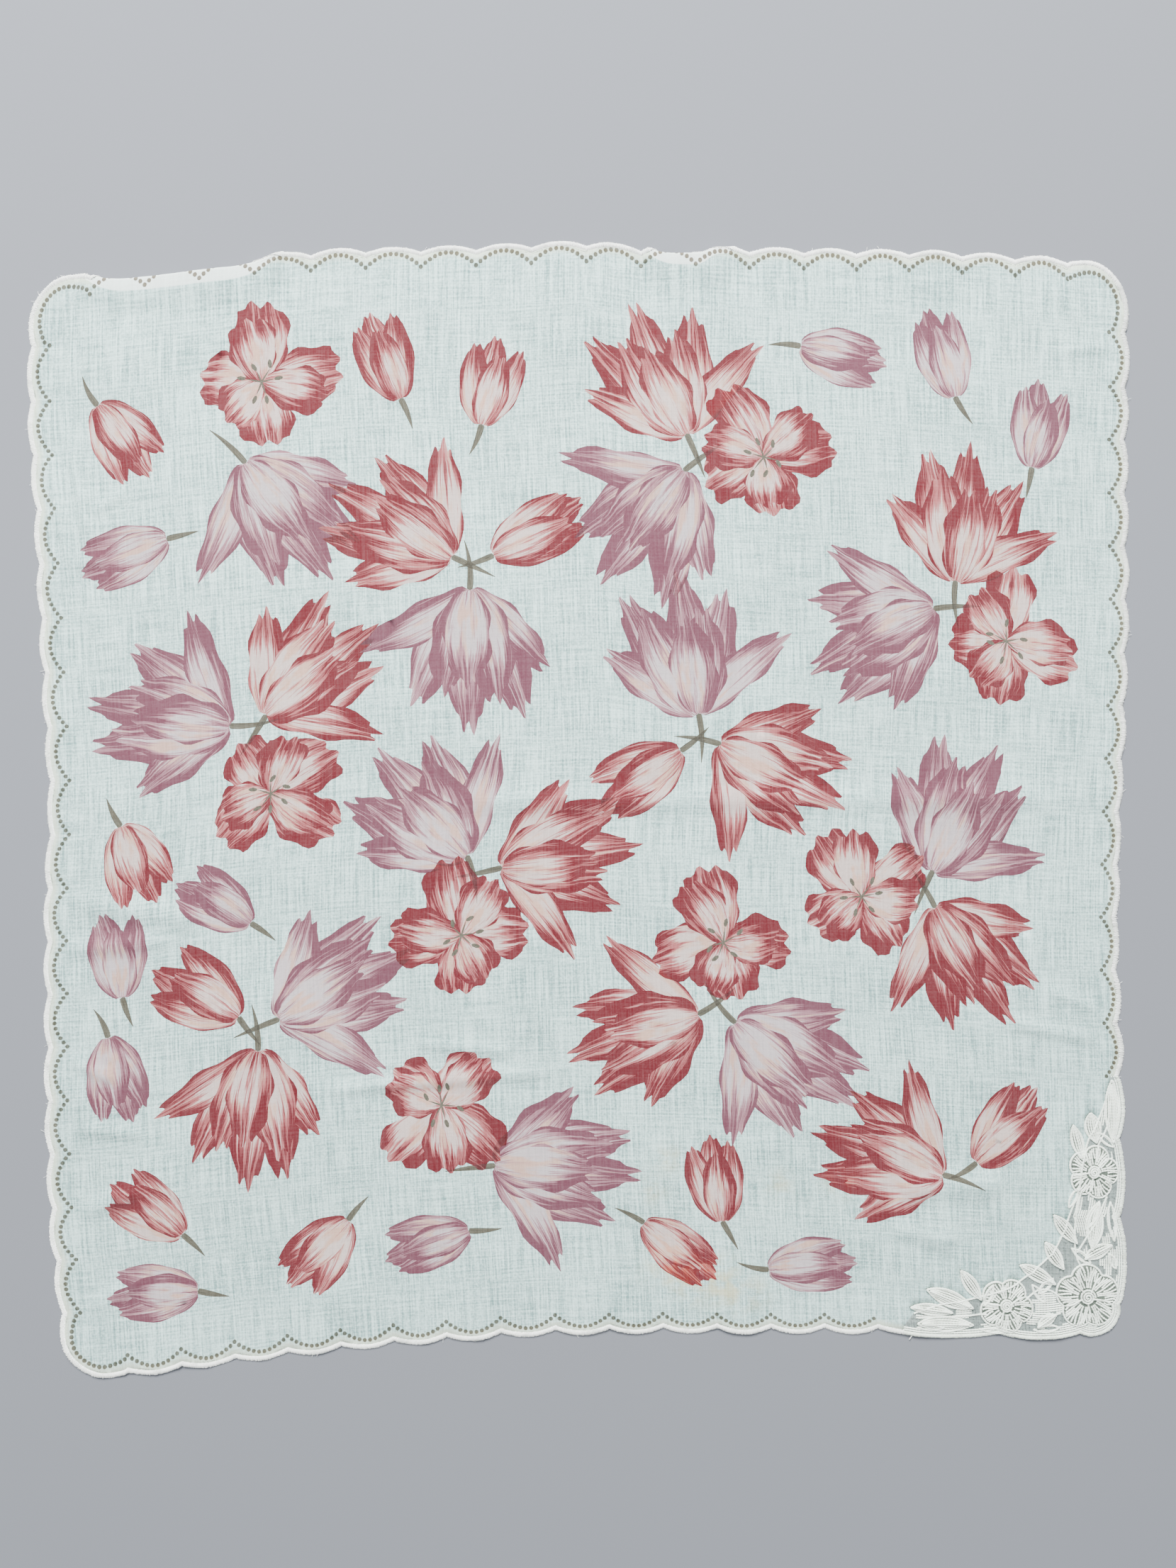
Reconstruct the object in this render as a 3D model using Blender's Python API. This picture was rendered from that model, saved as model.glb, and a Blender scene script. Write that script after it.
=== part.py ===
"""A printed cotton-lawn handkerchief square, used as a bandana, lying open.

Three pieces: the lawn cloth, whose edge is turned under along one stretch, the satin-stitched
edging round its scallops, and the embroidered lace corner let into it. Each piece is cut flat on
the pattern square, then laid: the edge turns under, the square is pulled askew and creases raise it.
Sizes here are in millimetres. Meshes are made in metres, with +Z up and the underside on z = 0.
"""
import math
from collections import namedtuple

import bmesh
import bpy
from mathutils import Matrix, Vector
from mathutils.geometry import delaunay_2d_cdt

MM = 0.001

# Cloth and its scalloped outline
HALF_SIDE = 240.0
CLOTH_THICK = 1.0
SCALLOPS = 18
CORNER_REACH = 27.5
CORNER_RADIUS = 21.0
SCALLOP_POINT = 0.9
LOBE_FLATNESS = 0.45
SCALLOP_STEPS = 5
TURNED_STEPS = 16
LOBE_STEPS = 14
CLOTH_GRID = 24.0

# Satin-stitched edging
EDGING_WIDTH = 2.0
EDGING_THICK = 1.2
EDGING_SIDE = 0.75
PIECE_GAP = 0.35

# Edge turned under in two places: how much cloth lies past the fold line, from left to right
FOLD_RADIUS = 0.75
FOLD_CLEARANCE = 0.25
FOLD_LIFT_FLAT = 3.6
FOLD_LIFT_END = 15.0
FoldRow = namedtuple("FoldRow", "x turned")
LONG_FOLD = (
    FoldRow(-232.0, -4.0),
    FoldRow(-216.0, 1.5),
    FoldRow(-204.0, 4.6),
    FoldRow(-190.0, 5.35),
    FoldRow(-164.0, 5.35),
    FoldRow(-146.0, 4.9),
    FoldRow(-132.0, 1.5),
    FoldRow(-120.0, -4.0),
)
SMALL_FOLD = (
    FoldRow(18.0, -4.0),
    FoldRow(25.0, 0.9),
    FoldRow(30.0, 3.2),
    FoldRow(36.0, 4.2),
    FoldRow(44.0, 4.5),
    FoldRow(50.0, 4.1),
    FoldRow(56.0, 2.3),
    FoldRow(63.0, 1.6),
    FoldRow(77.0, -4.0),
)
Fold = namedtuple("Fold", "rows steps")
FOLDS = (Fold(LONG_FOLD, 20), Fold(SMALL_FOLD, 18))
TURNED_SCALLOPS = (6, 7, 14, 15, 16, 17)

# How far each side of the square is pulled out of true, from corner to corner
PullRow = namedtuple("PullRow", "at dx dy")
TOP_PULL = (
    PullRow(-240.0, 1.3, -8.3),
    PullRow(-212.0, 1.3, -6.5),
    PullRow(-165.0, 1.5, -1.0),
    PullRow(-118.0, 2.1, 3.2),
    PullRow(-70.0, 2.8, 4.9),
    PullRow(-24.0, 3.6, 6.3),
    PullRow(0.0, 4.0, 7.4),
    PullRow(24.0, 4.1, 5.2),
    PullRow(47.0, 4.1, 5.2),
    PullRow(64.0, 4.1, 4.8),
    PullRow(94.0, 4.0, 4.1),
    PullRow(142.0, 2.5, 3.3),
    PullRow(165.0, 2.0, 2.4),
    PullRow(212.0, 0.9, -0.1),
    PullRow(240.0, 0.3, -1.3),
)
BOTTOM_PULL = (
    PullRow(-240.0, 15.5, -10.1),
    PullRow(-212.0, 17.4, -7.6),
    PullRow(-165.0, 16.6, -1.7),
    PullRow(-118.0, 15.4, 3.6),
    PullRow(-70.0, 14.2, 7.6),
    PullRow(-24.0, 14.3, 10.5),
    PullRow(24.0, 13.9, 11.4),
    PullRow(94.0, 13.4, 11.2),
    PullRow(118.0, 13.0, 11.0),
    PullRow(165.0, 8.5, 9.1),
    PullRow(212.0, 2.5, 9.1),
    PullRow(240.0, -1.0, 9.3),
)
LEFT_PULL = (
    PullRow(-240.0, 15.5, -10.1),
    PullRow(-212.0, 13.6, -7.7),
    PullRow(-165.0, 9.4, -9.1),
    PullRow(-110.0, 7.9, -9.6),
    PullRow(-60.0, 7.7, -10.6),
    PullRow(-25.0, 7.7, -11.7),
    PullRow(12.5, 9.3, -12.0),
    PullRow(74.0, 6.3, -12.1),
    PullRow(136.0, 3.4, -11.9),
    PullRow(186.0, 0.6, -12.1),
    PullRow(212.0, 0.5, -11.4),
    PullRow(240.0, 1.3, -8.3),
)
RIGHT_PULL = (
    PullRow(-240.0, -1.0, 9.3),
    PullRow(-212.0, -1.0, 5.7),
    PullRow(-165.0, -1.6, 2.8),
    PullRow(-118.0, -1.9, 1.4),
    PullRow(-62.0, -4.2, 0.1),
    PullRow(-12.0, -3.4, -1.2),
    PullRow(25.0, -1.9, -2.1),
    PullRow(74.0, -0.1, -3.2),
    PullRow(118.0, 0.0, -4.1),
    PullRow(165.0, -0.2, -5.0),
    PullRow(212.0, 0.4, -5.6),
    PullRow(240.0, 0.3, -1.3),
)
LAID_CENTRE = (0.345, -0.376)

# Creases of the laid cloth: a line from its start to its end, its height and its half width
Crease = namedtuple("Crease", "x0 y0 x1 y1 height width")
CREASES = (
    Crease(-79.0, 2.9, 236.0, 4.5, 0.8, 3.0),
    Crease(65.0, 84.0, 64.0, 10.0, 0.5, 3.0),
    Crease(-221.0, 167.0, -211.0, 111.0, 1.3, 6.0),
    Crease(-231.0, 155.0, -219.0, 96.0, 0.9, 4.0),
    Crease(-217.0, 123.0, -195.0, 139.5, 0.8, 4.0),
    Crease(-228.0, 104.0, -204.0, 109.0, 0.8, 4.0),
    Crease(-221.0, -40.0, -159.0, -49.0, 1.2, 9.0),
    Crease(-226.0, -62.0, -174.0, -57.0, 0.9, 7.0),
    Crease(-221.0, -109.0, -200.0, -119.0, 0.8, 5.0),
    Crease(-219.0, -139.0, -188.0, -142.0, 0.8, 5.0),
    Crease(-216.0, -177.0, -190.0, -165.0, 1.0, 6.0),
    Crease(-214.0, -219.0, -188.0, -204.0, 0.9, 6.0),
    Crease(-118.0, -123.0, -4.0, -114.0, 0.8, 4.0),
    Crease(-74.0, -102.0, -26.0, -106.0, 0.6, 4.0),
    Crease(208.0, 228.0, 218.0, 210.0, 0.8, 3.5),
    Crease(210.0, 199.0, 230.0, 200.5, 0.8, 3.5),
    Crease(183.0, -92.0, 226.0, -101.0, 1.0, 5.0),
    Crease(204.0, -79.0, 228.0, -88.0, 0.8, 4.0),
    Crease(138.0, -166.0, 190.0, -163.0, 1.3, 9.0),
    Crease(137.0, -182.0, 166.0, -190.0, 1.1, 7.0),
)
CREASE_STEP = 12.0
CREASE_FADE = 0.2
UNPULL_ROUNDS = 6
SOFT_CREASE_WIDTH = 5.0

# Lace corner: a and b are distances in from the square's right side and up from its lower side
LACE_THICK = 1.0
RELIEF = 0.8
FIRST_LACE_SCALLOP = 14
LAST_LACE_SCALLOP = 4
LACE_LOBES = (53.5, 37.0, 28.0, 38.5, 32.5, 25.5)
LACE_LOBE_STEPS = 8
LACE_FIRST_STEP = 2
LACE_EDGE_INSET = 0.2
LACE_LOBE_POINT = 0.7
LACE_SQUARE_END = 3.5
LACE_INNER_LINE = (
    (9.0, 112.0), (13.0, 102.0), (18.0, 93.0), (21.0, 82.0), (23.0, 70.0), (27.0, 60.0), (31.0, 50.0),
    (36.0, 42.0), (46.0, 33.0), (57.0, 26.0), (68.0, 22.0), (78.0, 19.0), (88.0, 17.0), (98.0, 14.0),
    (105.0, 11.0),
)
PATH_UNDER_LACE = (
    (5.6, 117.0), (9.0, 100.0), (12.0, 60.0), (12.0, 30.0), (30.0, 12.0), (60.0, 10.0), (100.0, 5.6),
)

# Embroidered motifs on the lace: five-petalled blossoms, and pointed leaves and buds
Blossom = namedtuple("Blossom", "a b radius turn")
BLOSSOMS = (
    Blossom(19.5, 21.0, 16.0, 20.0),
    Blossom(60.0, 16.5, 13.5, 62.0),
    Blossom(15.5, 79.0, 12.5, 5.0),
)
PETALS = 5
PETAL_NOTCH = 0.22
PETAL_FULLNESS = 0.6
BLOSSOM_STEPS = 40
BLOSSOM_BEVEL = 1.6
BLOSSOM_EYE = 0.24
EYE_STEPS = 8
EYE_RELIEF = 0.4

Leaf = namedtuple("Leaf", "a b tip_a tip_b width")
LEAVES = (
    Leaf(31.0, 34.0, 40.0, 47.0, 7.0),
    Leaf(35.0, 27.0, 53.0, 36.0, 7.0),
    Leaf(72.0, 19.0, 82.0, 33.0, 7.0),
    Leaf(24.0, 46.0, 35.5, 59.5, 7.0),
    Leaf(21.0, 39.0, 7.0, 46.0, 6.5),
    Leaf(17.0, 43.0, 13.0, 65.0, 8.0),
    Leaf(35.0, 13.0, 45.0, 6.0, 5.5),
    Leaf(76.0, 7.0, 104.0, 6.5, 8.0),
    Leaf(76.0, 15.0, 99.0, 23.0, 8.5),
    Leaf(86.0, 12.5, 107.0, 14.0, 6.0),
    Leaf(6.0, 92.0, 6.5, 121.0, 7.5),
    Leaf(14.0, 92.0, 17.0, 106.0, 8.5),
    Leaf(21.0, 85.0, 25.5, 100.5, 6.5),
)
LEAF_STEPS = 6
LEAF_FULLNESS = 0.75
MIDRIB_POINTS = (0.15, 0.4, 0.6, 0.85)


def smooth(value):
    """Ease from 0 to 1 as value goes from 0 to 1, and stay there outside."""
    value = min(max(value, 0.0), 1.0)
    return value * value * (3.0 - 2.0 * value)


def between_rows(rows, at, column=1):
    """Read a smooth curve through one column of rows that start with their place."""
    if at <= rows[0][0]:
        return rows[0][column]
    if at >= rows[-1][0]:
        return rows[-1][column]
    index = max(i for i, row in enumerate(rows[:-1]) if row[0] <= at)

    def slope(i):
        before = rows[max(i - 1, 0)]
        after = rows[min(i + 1, len(rows) - 1)]
        return (after[column] - before[column]) / (after[0] - before[0])

    low, high = rows[index][column], rows[index + 1][column]
    span = rows[index + 1][0] - rows[index][0]
    t = (at - rows[index][0]) / span
    rise = (3.0 - 2.0 * t) * t * t
    ease_out = t * (1.0 - t) ** 2 * span * slope(index)
    ease_in = t * t * (t - 1.0) * span * slope(index + 1)
    return low + (high - low) * rise + ease_out + ease_in


# Outline of the pattern square

PITCH = 2.0 * (HALF_SIDE - CORNER_REACH) / SCALLOPS
CORNER_STRAIGHT = CORNER_REACH - CORNER_RADIUS
CORNER_RUN = 2.0 * CORNER_STRAIGHT + CORNER_RADIUS * math.pi / 2
SIDE_RUN = SCALLOPS * PITCH
QUARTER = SIDE_RUN + CORNER_RUN
LACE_START = 3 * QUARTER + FIRST_LACE_SCALLOP * PITCH
LACE_END = 4 * QUARTER + LAST_LACE_SCALLOP * PITCH

# How deep the scallops are cut, from the lace's upper end round the cloth to its lower end
DepthRow = namedtuple("DepthRow", "travelled depth")
DEPTH_ROWS = (
    DepthRow(LAST_LACE_SCALLOP * PITCH, 3.0),
    DepthRow(0.35 * QUARTER, 1.7),
    DepthRow(0.6 * QUARTER, 2.0),
    DepthRow(1.5 * QUARTER, 2.1),
    DepthRow(2.5 * QUARTER, 1.8),
    DepthRow(3.2 * QUARTER, 2.4),
    DepthRow(LACE_START, 3.0),
)


def base_point(travelled):
    """A point so far anticlockwise round the rounded square, and the way that points inward.

    The start is the lowest cusp of the right side. One side and one corner make a quarter.
    """
    quarter, along = divmod(travelled, QUARTER)
    turn = Matrix.Rotation(quarter * math.pi / 2, 2)
    bent = (along - SIDE_RUN - CORNER_STRAIGHT) / CORNER_RADIUS
    if bent <= 0.0:
        return turn @ Vector((HALF_SIDE, along + CORNER_REACH - HALF_SIDE)), turn @ Vector((-1.0, 0.0))
    if bent >= math.pi / 2:
        left = QUARTER - along
        return turn @ Vector((HALF_SIDE - CORNER_REACH + left, HALF_SIDE)), turn @ Vector((0.0, -1.0))
    outward = Matrix.Rotation(bent, 2) @ Vector((1.0, 0.0))
    centre = Vector([HALF_SIDE - CORNER_RADIUS] * 2)
    return turn @ (centre + outward * CORNER_RADIUS), turn @ -outward


Lobe = namedtuple("Lobe", "start length flatness steps")


def edge_lobes():
    """The cloth's scallops and rounded corners, from the lace's upper end to its lower end."""
    lobes = []
    for side in range(4):
        first = LAST_LACE_SCALLOP if side == 0 else 0
        last = FIRST_LACE_SCALLOP if side == 3 else SCALLOPS
        for scallop in range(first, last):
            turned = side == 1 and scallop in TURNED_SCALLOPS
            steps = TURNED_STEPS if turned else SCALLOP_STEPS
            lobes.append(Lobe(side * QUARTER + scallop * PITCH, PITCH, SCALLOP_POINT, steps))
        if side < 3:
            start = side * QUARTER + SIDE_RUN
            lobes.append(Lobe(start, CORNER_RUN, LOBE_FLATNESS, LOBE_STEPS))
    return lobes


def lace_lobes():
    """The longer, uneven lobes of the lace's outer edge, from its lower end to its upper end."""
    stretch = (LACE_END - LACE_START) / sum(LACE_LOBES)
    lobes = []
    start = LACE_START
    for length in LACE_LOBES:
        lobes.append(Lobe(start, length * stretch, LACE_LOBE_POINT, LACE_LOBE_STEPS))
        start += length * stretch
    return lobes


def lobe_stations(lobes):
    """Points on the plain square, their inward ways, and how far in the lobes' edge is there."""
    stations = []
    for lobe in lobes:
        for step in range(lobe.steps):
            u = step / lobe.steps
            travelled = lobe.start + u * lobe.length
            cusp = 1.0 - abs(math.sin(math.pi * u)) ** lobe.flatness
            stations.append((*base_point(travelled), cusp * between_rows(DEPTH_ROWS, travelled)))
    return stations


def edging_stations():
    """The edging runs on a little way along the lace's first lobe."""
    return lobe_stations(edge_lobes()) + lobe_stations(lace_lobes())[:LACE_FIRST_STEP + 1]


def edge_line(stations, inset):
    return [point + inward * (inset + dip) for point, inward, dip in stations]


# Lace corner's outlines

def from_corner(a, b):
    return Vector((HALF_SIDE - a, b - HALF_SIDE))


def lace_outer_line(grow):
    """The lobed outer edge of the lace, from its lower end to its upper end."""
    end = (*base_point(LACE_END), DEPTH_ROWS[-1].depth)
    stations = lobe_stations(lace_lobes())[LACE_FIRST_STEP:] + [end]
    line = edge_line(stations, LACE_EDGE_INSET - grow)
    for index, onward in ((0, 1.0), (-1, -1.0)):
        inward = stations[index][1]
        along = Vector((inward.y, -inward.x)) * onward
        line[index] += along * (PIECE_GAP - grow)
    return line


def lace_ground(grow):
    """The lace's whole ground: its outer edge, then back along its inner edge."""
    outer = lace_outer_line(grow)
    lower, upper = outer[0], outer[-1]
    inner = [from_corner(a, b) for a, b in LACE_INNER_LINE]
    past = LACE_SQUARE_END + 2.0 * grow
    line = [upper + Vector((-past, 0.0))] + inner + [lower + Vector((0.0, past))]
    grown = []
    for index, point in enumerate(line):
        before = line[max(index - 1, 0)]
        after = line[min(index + 1, len(line) - 1)]
        along = (after - before).normalized()
        sideways = Vector((along.y, -along.x))
        on_end = index in (0, len(line) - 1)
        grown.append(point if on_end else point + sideways * grow)
    return outer + grown


def blossom_reach(blossom, angle):
    petal = abs(math.cos(PETALS * (angle - math.radians(blossom.turn)) / 2.0)) ** PETAL_FULLNESS
    return blossom.radius * (1.0 - PETAL_NOTCH * (1.0 - petal))


def blossom_ring(blossom, share, grow):
    """A closed ring of a five-petalled blossom, at a share of its outline's reach."""
    centre = from_corner(blossom.a, blossom.b)
    ring = []
    for step in range(BLOSSOM_STEPS):
        angle = 2.0 * math.pi * step / BLOSSOM_STEPS
        reach = blossom_reach(blossom, angle) * share + grow
        ring.append(centre + reach * Vector((math.cos(angle), math.sin(angle))))
    return ring


def leaf_frame(leaf):
    """A leaf's root, its way to the tip, its way across and its length."""
    root = from_corner(leaf.a, leaf.b)
    to_tip = from_corner(leaf.tip_a, leaf.tip_b) - root
    along = to_tip.normalized()
    return root, along, Vector((-along.y, along.x)), to_tip.length


def leaf_half_width(leaf, t):
    return leaf.width / 2.0 * max(math.sin(math.pi * t), 0.0) ** LEAF_FULLNESS


def leaf_ring(leaf, grow):
    root, along, across, length = leaf_frame(leaf)
    ring = []
    for step in range(2 * LEAF_STEPS):
        there = step <= LEAF_STEPS
        t = step / LEAF_STEPS if there else 2.0 - step / LEAF_STEPS
        side = -1.0 if there else 1.0
        reach = (leaf_half_width(leaf, t) + grow) if 0 < t < 1 else 0.0
        beyond = grow * (2.0 * t - 1.0)
        ring.append(root + along * (t * length + beyond) + across * side * reach)
    return ring


def lace_relief(point):
    """How far the embroidery stands over the lace's ground at a point of the pattern square."""
    raised = 0.0
    for blossom in BLOSSOMS:
        away = point - from_corner(blossom.a, blossom.b)
        inside = blossom_reach(blossom, math.atan2(away.y, away.x)) - away.length
        eye = EYE_RELIEF * smooth(2.0 - 2.0 * away.length / (BLOSSOM_EYE * blossom.radius))
        raised = max(raised, RELIEF * smooth(inside / BLOSSOM_BEVEL) + eye)
    for leaf in LEAVES:
        root, along, across, length = leaf_frame(leaf)
        t = (point - root).dot(along) / length
        if 0.0 < t < 1.0:
            share = abs((point - root).dot(across)) / leaf_half_width(leaf, t)
            raised = max(raised, RELIEF * smooth(1.0 - share))
    return raised


# Laying the flat pieces

def turned_at(x):
    """How much cloth lies past the fold line at x, or less than nothing where none is turned."""
    return max(between_rows(fold.rows, x) for fold in FOLDS)


def turn_under(x, y, z):
    """Wrap what lies past the fold line round and under, and lift the cloth that covers it."""
    turned = turned_at(x)
    most = FOLD_RADIUS * math.pi
    if turned <= 0.0:
        return y, z
    angle_at_edge = min(turned / FOLD_RADIUS, math.pi)
    lift = FOLD_RADIUS * (1.0 - math.cos(angle_at_edge)) + FOLD_CLEARANCE * smooth(turned / most)
    fold_y = HALF_SIDE - turned
    past = y - fold_y
    middle = CLOTH_THICK / 2.0
    if past <= 0.0:
        drop = smooth((-past - FOLD_LIFT_FLAT) / (FOLD_LIFT_END - FOLD_LIFT_FLAT))
        return y, z + lift * (1.0 - drop)
    radius = FOLD_RADIUS + z - middle
    axis_z = middle + lift - FOLD_RADIUS
    if past >= most:
        return fold_y - (past - most), axis_z - radius
    angle = past / FOLD_RADIUS
    return fold_y + radius * math.sin(angle), axis_z + radius * math.cos(angle)


def pull_askew(x, y):
    """Move a point of the pattern square to where the laid cloth has it.

    The pulls of two facing sides are blended across, both ways, less the corners counted twice.
    """
    up = y / (2.0 * HALF_SIDE) + 0.5
    right = x / (2.0 * HALF_SIDE) + 0.5
    laid = [x, y]
    for axis in range(2):
        column = axis + 1
        left_pull = between_rows(LEFT_PULL, y, column)
        right_pull = between_rows(RIGHT_PULL, y, column)
        bottom_pull = between_rows(BOTTOM_PULL, x, column)
        top_pull = between_rows(TOP_PULL, x, column)
        low = BOTTOM_PULL[0][column] * (1.0 - right) + BOTTOM_PULL[-1][column] * right
        high = TOP_PULL[0][column] * (1.0 - right) + TOP_PULL[-1][column] * right
        laid[axis] += left_pull * (1.0 - right) + right_pull * right
        laid[axis] += (bottom_pull - low) * (1.0 - up) + (top_pull - high) * up
    return Vector(laid)


def unpulled(x, y):
    """The point of the pattern square that is laid at x, y."""
    laid = Vector((x, y))
    flat = laid.copy()
    for _ in range(UNPULL_ROUNDS):
        flat += laid - pull_askew(flat.x, flat.y)
    return flat


def crease_height(x, y):
    """How far the creases raise the laid cloth at x, y."""
    raised = 0.0
    for crease in CREASES:
        start = Vector((crease.x0, crease.y0))
        run = Vector((crease.x1, crease.y1)) - start
        away = Vector((x, y)) - start
        t = away.dot(run) / run.length_squared
        if 0.0 < t < 1.0:
            across = abs(run.cross(away)) / run.length
            ends = smooth(min(t, 1.0 - t) / CREASE_FADE)
            raised = max(raised, crease.height * ends * smooth(1.0 - across / crease.width))
    return raised


def lay(point):
    """Take a point of a flat piece to its place in the laid part, in metres."""
    y, z = turn_under(*point)
    laid = pull_askew(point.x, y)
    z += crease_height(laid.x, laid.y)
    return Vector((laid.x - LAID_CENTRE[0], laid.y - LAID_CENTRE[1], z)) * MM


# Building the pieces

class FlatCut:
    """Points, lines and outlines on the pattern square, from which a flat piece is cut."""

    def __init__(self):
        self.points = []
        self.lines = []
        self.outlines = []

    def add_points(self, points):
        first = len(self.points)
        self.points.extend(points)
        return list(range(first, len(self.points)))

    def add_line(self, points):
        ids = self.add_points(points)
        self.lines.extend(zip(ids, ids[1:]))

    def add_ring(self, points):
        ids = self.add_points(points)
        self.lines.extend(zip(ids, ids[1:] + ids[:1]))

    def add_outline(self, points):
        self.outlines.append(self.add_points(points))

    def triangles(self, keep):
        """Triangulate everything and keep the triangles whose set of outlines passes the test."""
        result = delaunay_2d_cdt(self.points, self.lines, self.outlines, 0, 1e-4)
        points, faces, owners = result[0], result[2], result[5]
        return points, [face for face, owner in zip(faces, owners) if keep(set(owner))]


def slab_mesh(name, points, faces, top_at):
    """Raise a flat triangulation into a slab with its own top, and lay it."""
    bm = bmesh.new()
    verts = [bm.verts.new((point.x, point.y, 0.0)) for point in points]
    for face in faces:
        bm.faces.new([verts[i] for i in face])
    loose = [vert for vert in verts if not vert.link_faces]
    bmesh.ops.delete(bm, geom=loose, context="VERTS")
    raised = bmesh.ops.extrude_face_region(bm, geom=bm.faces[:])["geom"]
    for item in raised:
        if isinstance(item, bmesh.types.BMVert):
            item.co.z = top_at(item.co.xy)
    return finished_mesh(name, bm)


def finished_mesh(name, bm):
    for vert in bm.verts:
        vert.co = lay(vert.co)
    bmesh.ops.triangulate(bm, faces=bm.faces[:])
    bmesh.ops.recalc_face_normals(bm, faces=bm.faces[:])
    mesh = bpy.data.meshes.new(name)
    bm.to_mesh(mesh)
    bm.free()
    return mesh


def crease_rows(cut):
    """Rows of points that let the cloth rise along each crease."""
    for crease in CREASES:
        start = Vector((crease.x0, crease.y0))
        run = Vector((crease.x1, crease.y1)) - start
        across = Vector((-run.y, run.x)).normalized() * crease.width
        steps = max(3, round(run.length / CREASE_STEP))
        offsets = (-1.0, -0.5, 0.5, 1.0) if crease.width > SOFT_CREASE_WIDTH else (-1.0, 1.0)
        spine = [start + run * i / steps for i in range(steps + 1)]
        cut.add_line([unpulled(*point) for point in spine])
        for offset in offsets:
            row = [start + run * (i + 0.5) / steps + across * offset for i in range(steps)]
            cut.add_points([unpulled(*point) for point in row])


def fold_rows(cut):
    """Rows of points along each fold line, round its bend and where its lift dies away."""
    wrapped = [FOLD_RADIUS * math.pi * quarter / 4.0 for quarter in range(5)]
    lifted = [-FOLD_LIFT_FLAT, (-FOLD_LIFT_FLAT - FOLD_LIFT_END) / 2.0, -FOLD_LIFT_END]
    for fold in FOLDS:
        left, right = fold.rows[0].x, fold.rows[-1].x
        xs = [left + (right - left) * i / fold.steps for i in range(fold.steps + 1)]
        for past in lifted + wrapped:
            cut.add_line([Vector((x, HALF_SIDE - turned_at(x) + past)) for x in xs])


def near_crease(point):
    laid = pull_askew(point.x, point.y)
    for crease in CREASES:
        start = Vector((crease.x0, crease.y0))
        run = Vector((crease.x1, crease.y1)) - start
        t = min(max((laid - start).dot(run) / run.length_squared, 0.0), 1.0)
        if (laid - start - run * t).length < crease.width + CREASE_STEP / 2.0:
            return True
    return False


def cloth_mesh(stations):
    cut = FlatCut()
    edge = edge_line(stations, EDGING_WIDTH + PIECE_GAP)
    under_lace = [from_corner(a, b) for a, b in reversed(PATH_UNDER_LACE)]
    cut.add_outline(edge + under_lace)
    cut.add_outline(lace_ground(PIECE_GAP))
    for blossom in BLOSSOMS:
        cut.add_outline(blossom_ring(blossom, 1.0, PIECE_GAP))
    for leaf in LEAVES:
        cut.add_outline(leaf_ring(leaf, PIECE_GAP))
    crease_rows(cut)
    fold_rows(cut)
    count = int(HALF_SIDE / CLOTH_GRID) - 1
    across = [i * CLOTH_GRID for i in range(-count, count + 1)]
    grid = [Vector((x, y)) for x in across for y in across]
    cut.add_points([point for point in grid if not near_crease(point)])
    points, faces = cut.triangles(lambda owners: owners == {0})
    return slab_mesh("cloth", points, faces, lambda point: CLOTH_THICK)


def lace_mesh():
    cut = FlatCut()
    cut.add_outline(lace_ground(0.0))
    for blossom in BLOSSOMS:
        cut.add_outline(blossom_ring(blossom, 1.0, 0.0))
        cut.add_ring(blossom_ring(blossom, 1.0, -BLOSSOM_BEVEL))
        cut.add_ring(blossom_ring(blossom, BLOSSOM_EYE, 0.0)[::BLOSSOM_STEPS // EYE_STEPS])
        cut.add_points([from_corner(blossom.a, blossom.b)])
    for leaf in LEAVES:
        cut.add_outline(leaf_ring(leaf, 0.0))
        root, along, _, length = leaf_frame(leaf)
        cut.add_line([root + along * length * t for t in MIDRIB_POINTS])
    points, faces = cut.triangles(bool)
    return slab_mesh("lace_corner", points, faces, lambda point: LACE_THICK + lace_relief(point))


def edging_mesh(stations):
    """A rounded band, one ring of five points at each station, closed at both ends."""
    section = (
        (EDGING_WIDTH, 0.0),
        (0.0, 0.0),
        (0.0, EDGING_SIDE),
        (EDGING_WIDTH / 2.0, EDGING_THICK),
        (EDGING_WIDTH, CLOTH_THICK),
    )
    bm = bmesh.new()
    rings = []
    for point, inward, dip in stations:
        ring = []
        for inset, height in section:
            flat = point + inward * (inset + dip)
            ring.append(bm.verts.new((flat.x, flat.y, height)))
        rings.append(ring)
    for here, there in zip(rings, rings[1:]):
        for i in range(len(section)):
            j = (i + 1) % len(section)
            bm.faces.new((here[i], here[j], there[j], there[i]))
    bm.faces.new(rings[0])
    bm.faces.new(reversed(rings[-1]))
    return finished_mesh("edging", bm)


def fabric(name, colour, roughness):
    material = bpy.data.materials.new(name)
    material.use_nodes = True
    shader = material.node_tree.nodes["Principled BSDF"]
    shader.inputs["Base Color"].default_value = (*colour, 1.0)
    shader.inputs["Roughness"].default_value = roughness
    shader.inputs["Metallic"].default_value = 0.0
    return material


def add_piece(mesh, material):
    piece = bpy.data.objects.new(mesh.name, mesh)
    mesh.materials.append(material)
    bpy.context.collection.objects.link(piece)
    return piece


def build():
    for old in list(bpy.data.objects):
        bpy.data.objects.remove(old, do_unlink=True)
    stations = edging_stations()
    add_piece(cloth_mesh(stations), fabric("printed lawn", (0.70, 0.77, 0.75), 0.85))
    add_piece(edging_mesh(stations), fabric("edging thread", (0.93, 0.96, 0.92), 0.60))
    add_piece(lace_mesh(), fabric("lace", (0.88, 0.91, 0.87), 0.65))


build()
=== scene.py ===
import math
import random
from collections import namedtuple

import bpy
import numpy as np
from mathutils import Matrix, Vector, kdtree, noise
from mathutils.geometry import delaunay_2d_cdt


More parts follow.
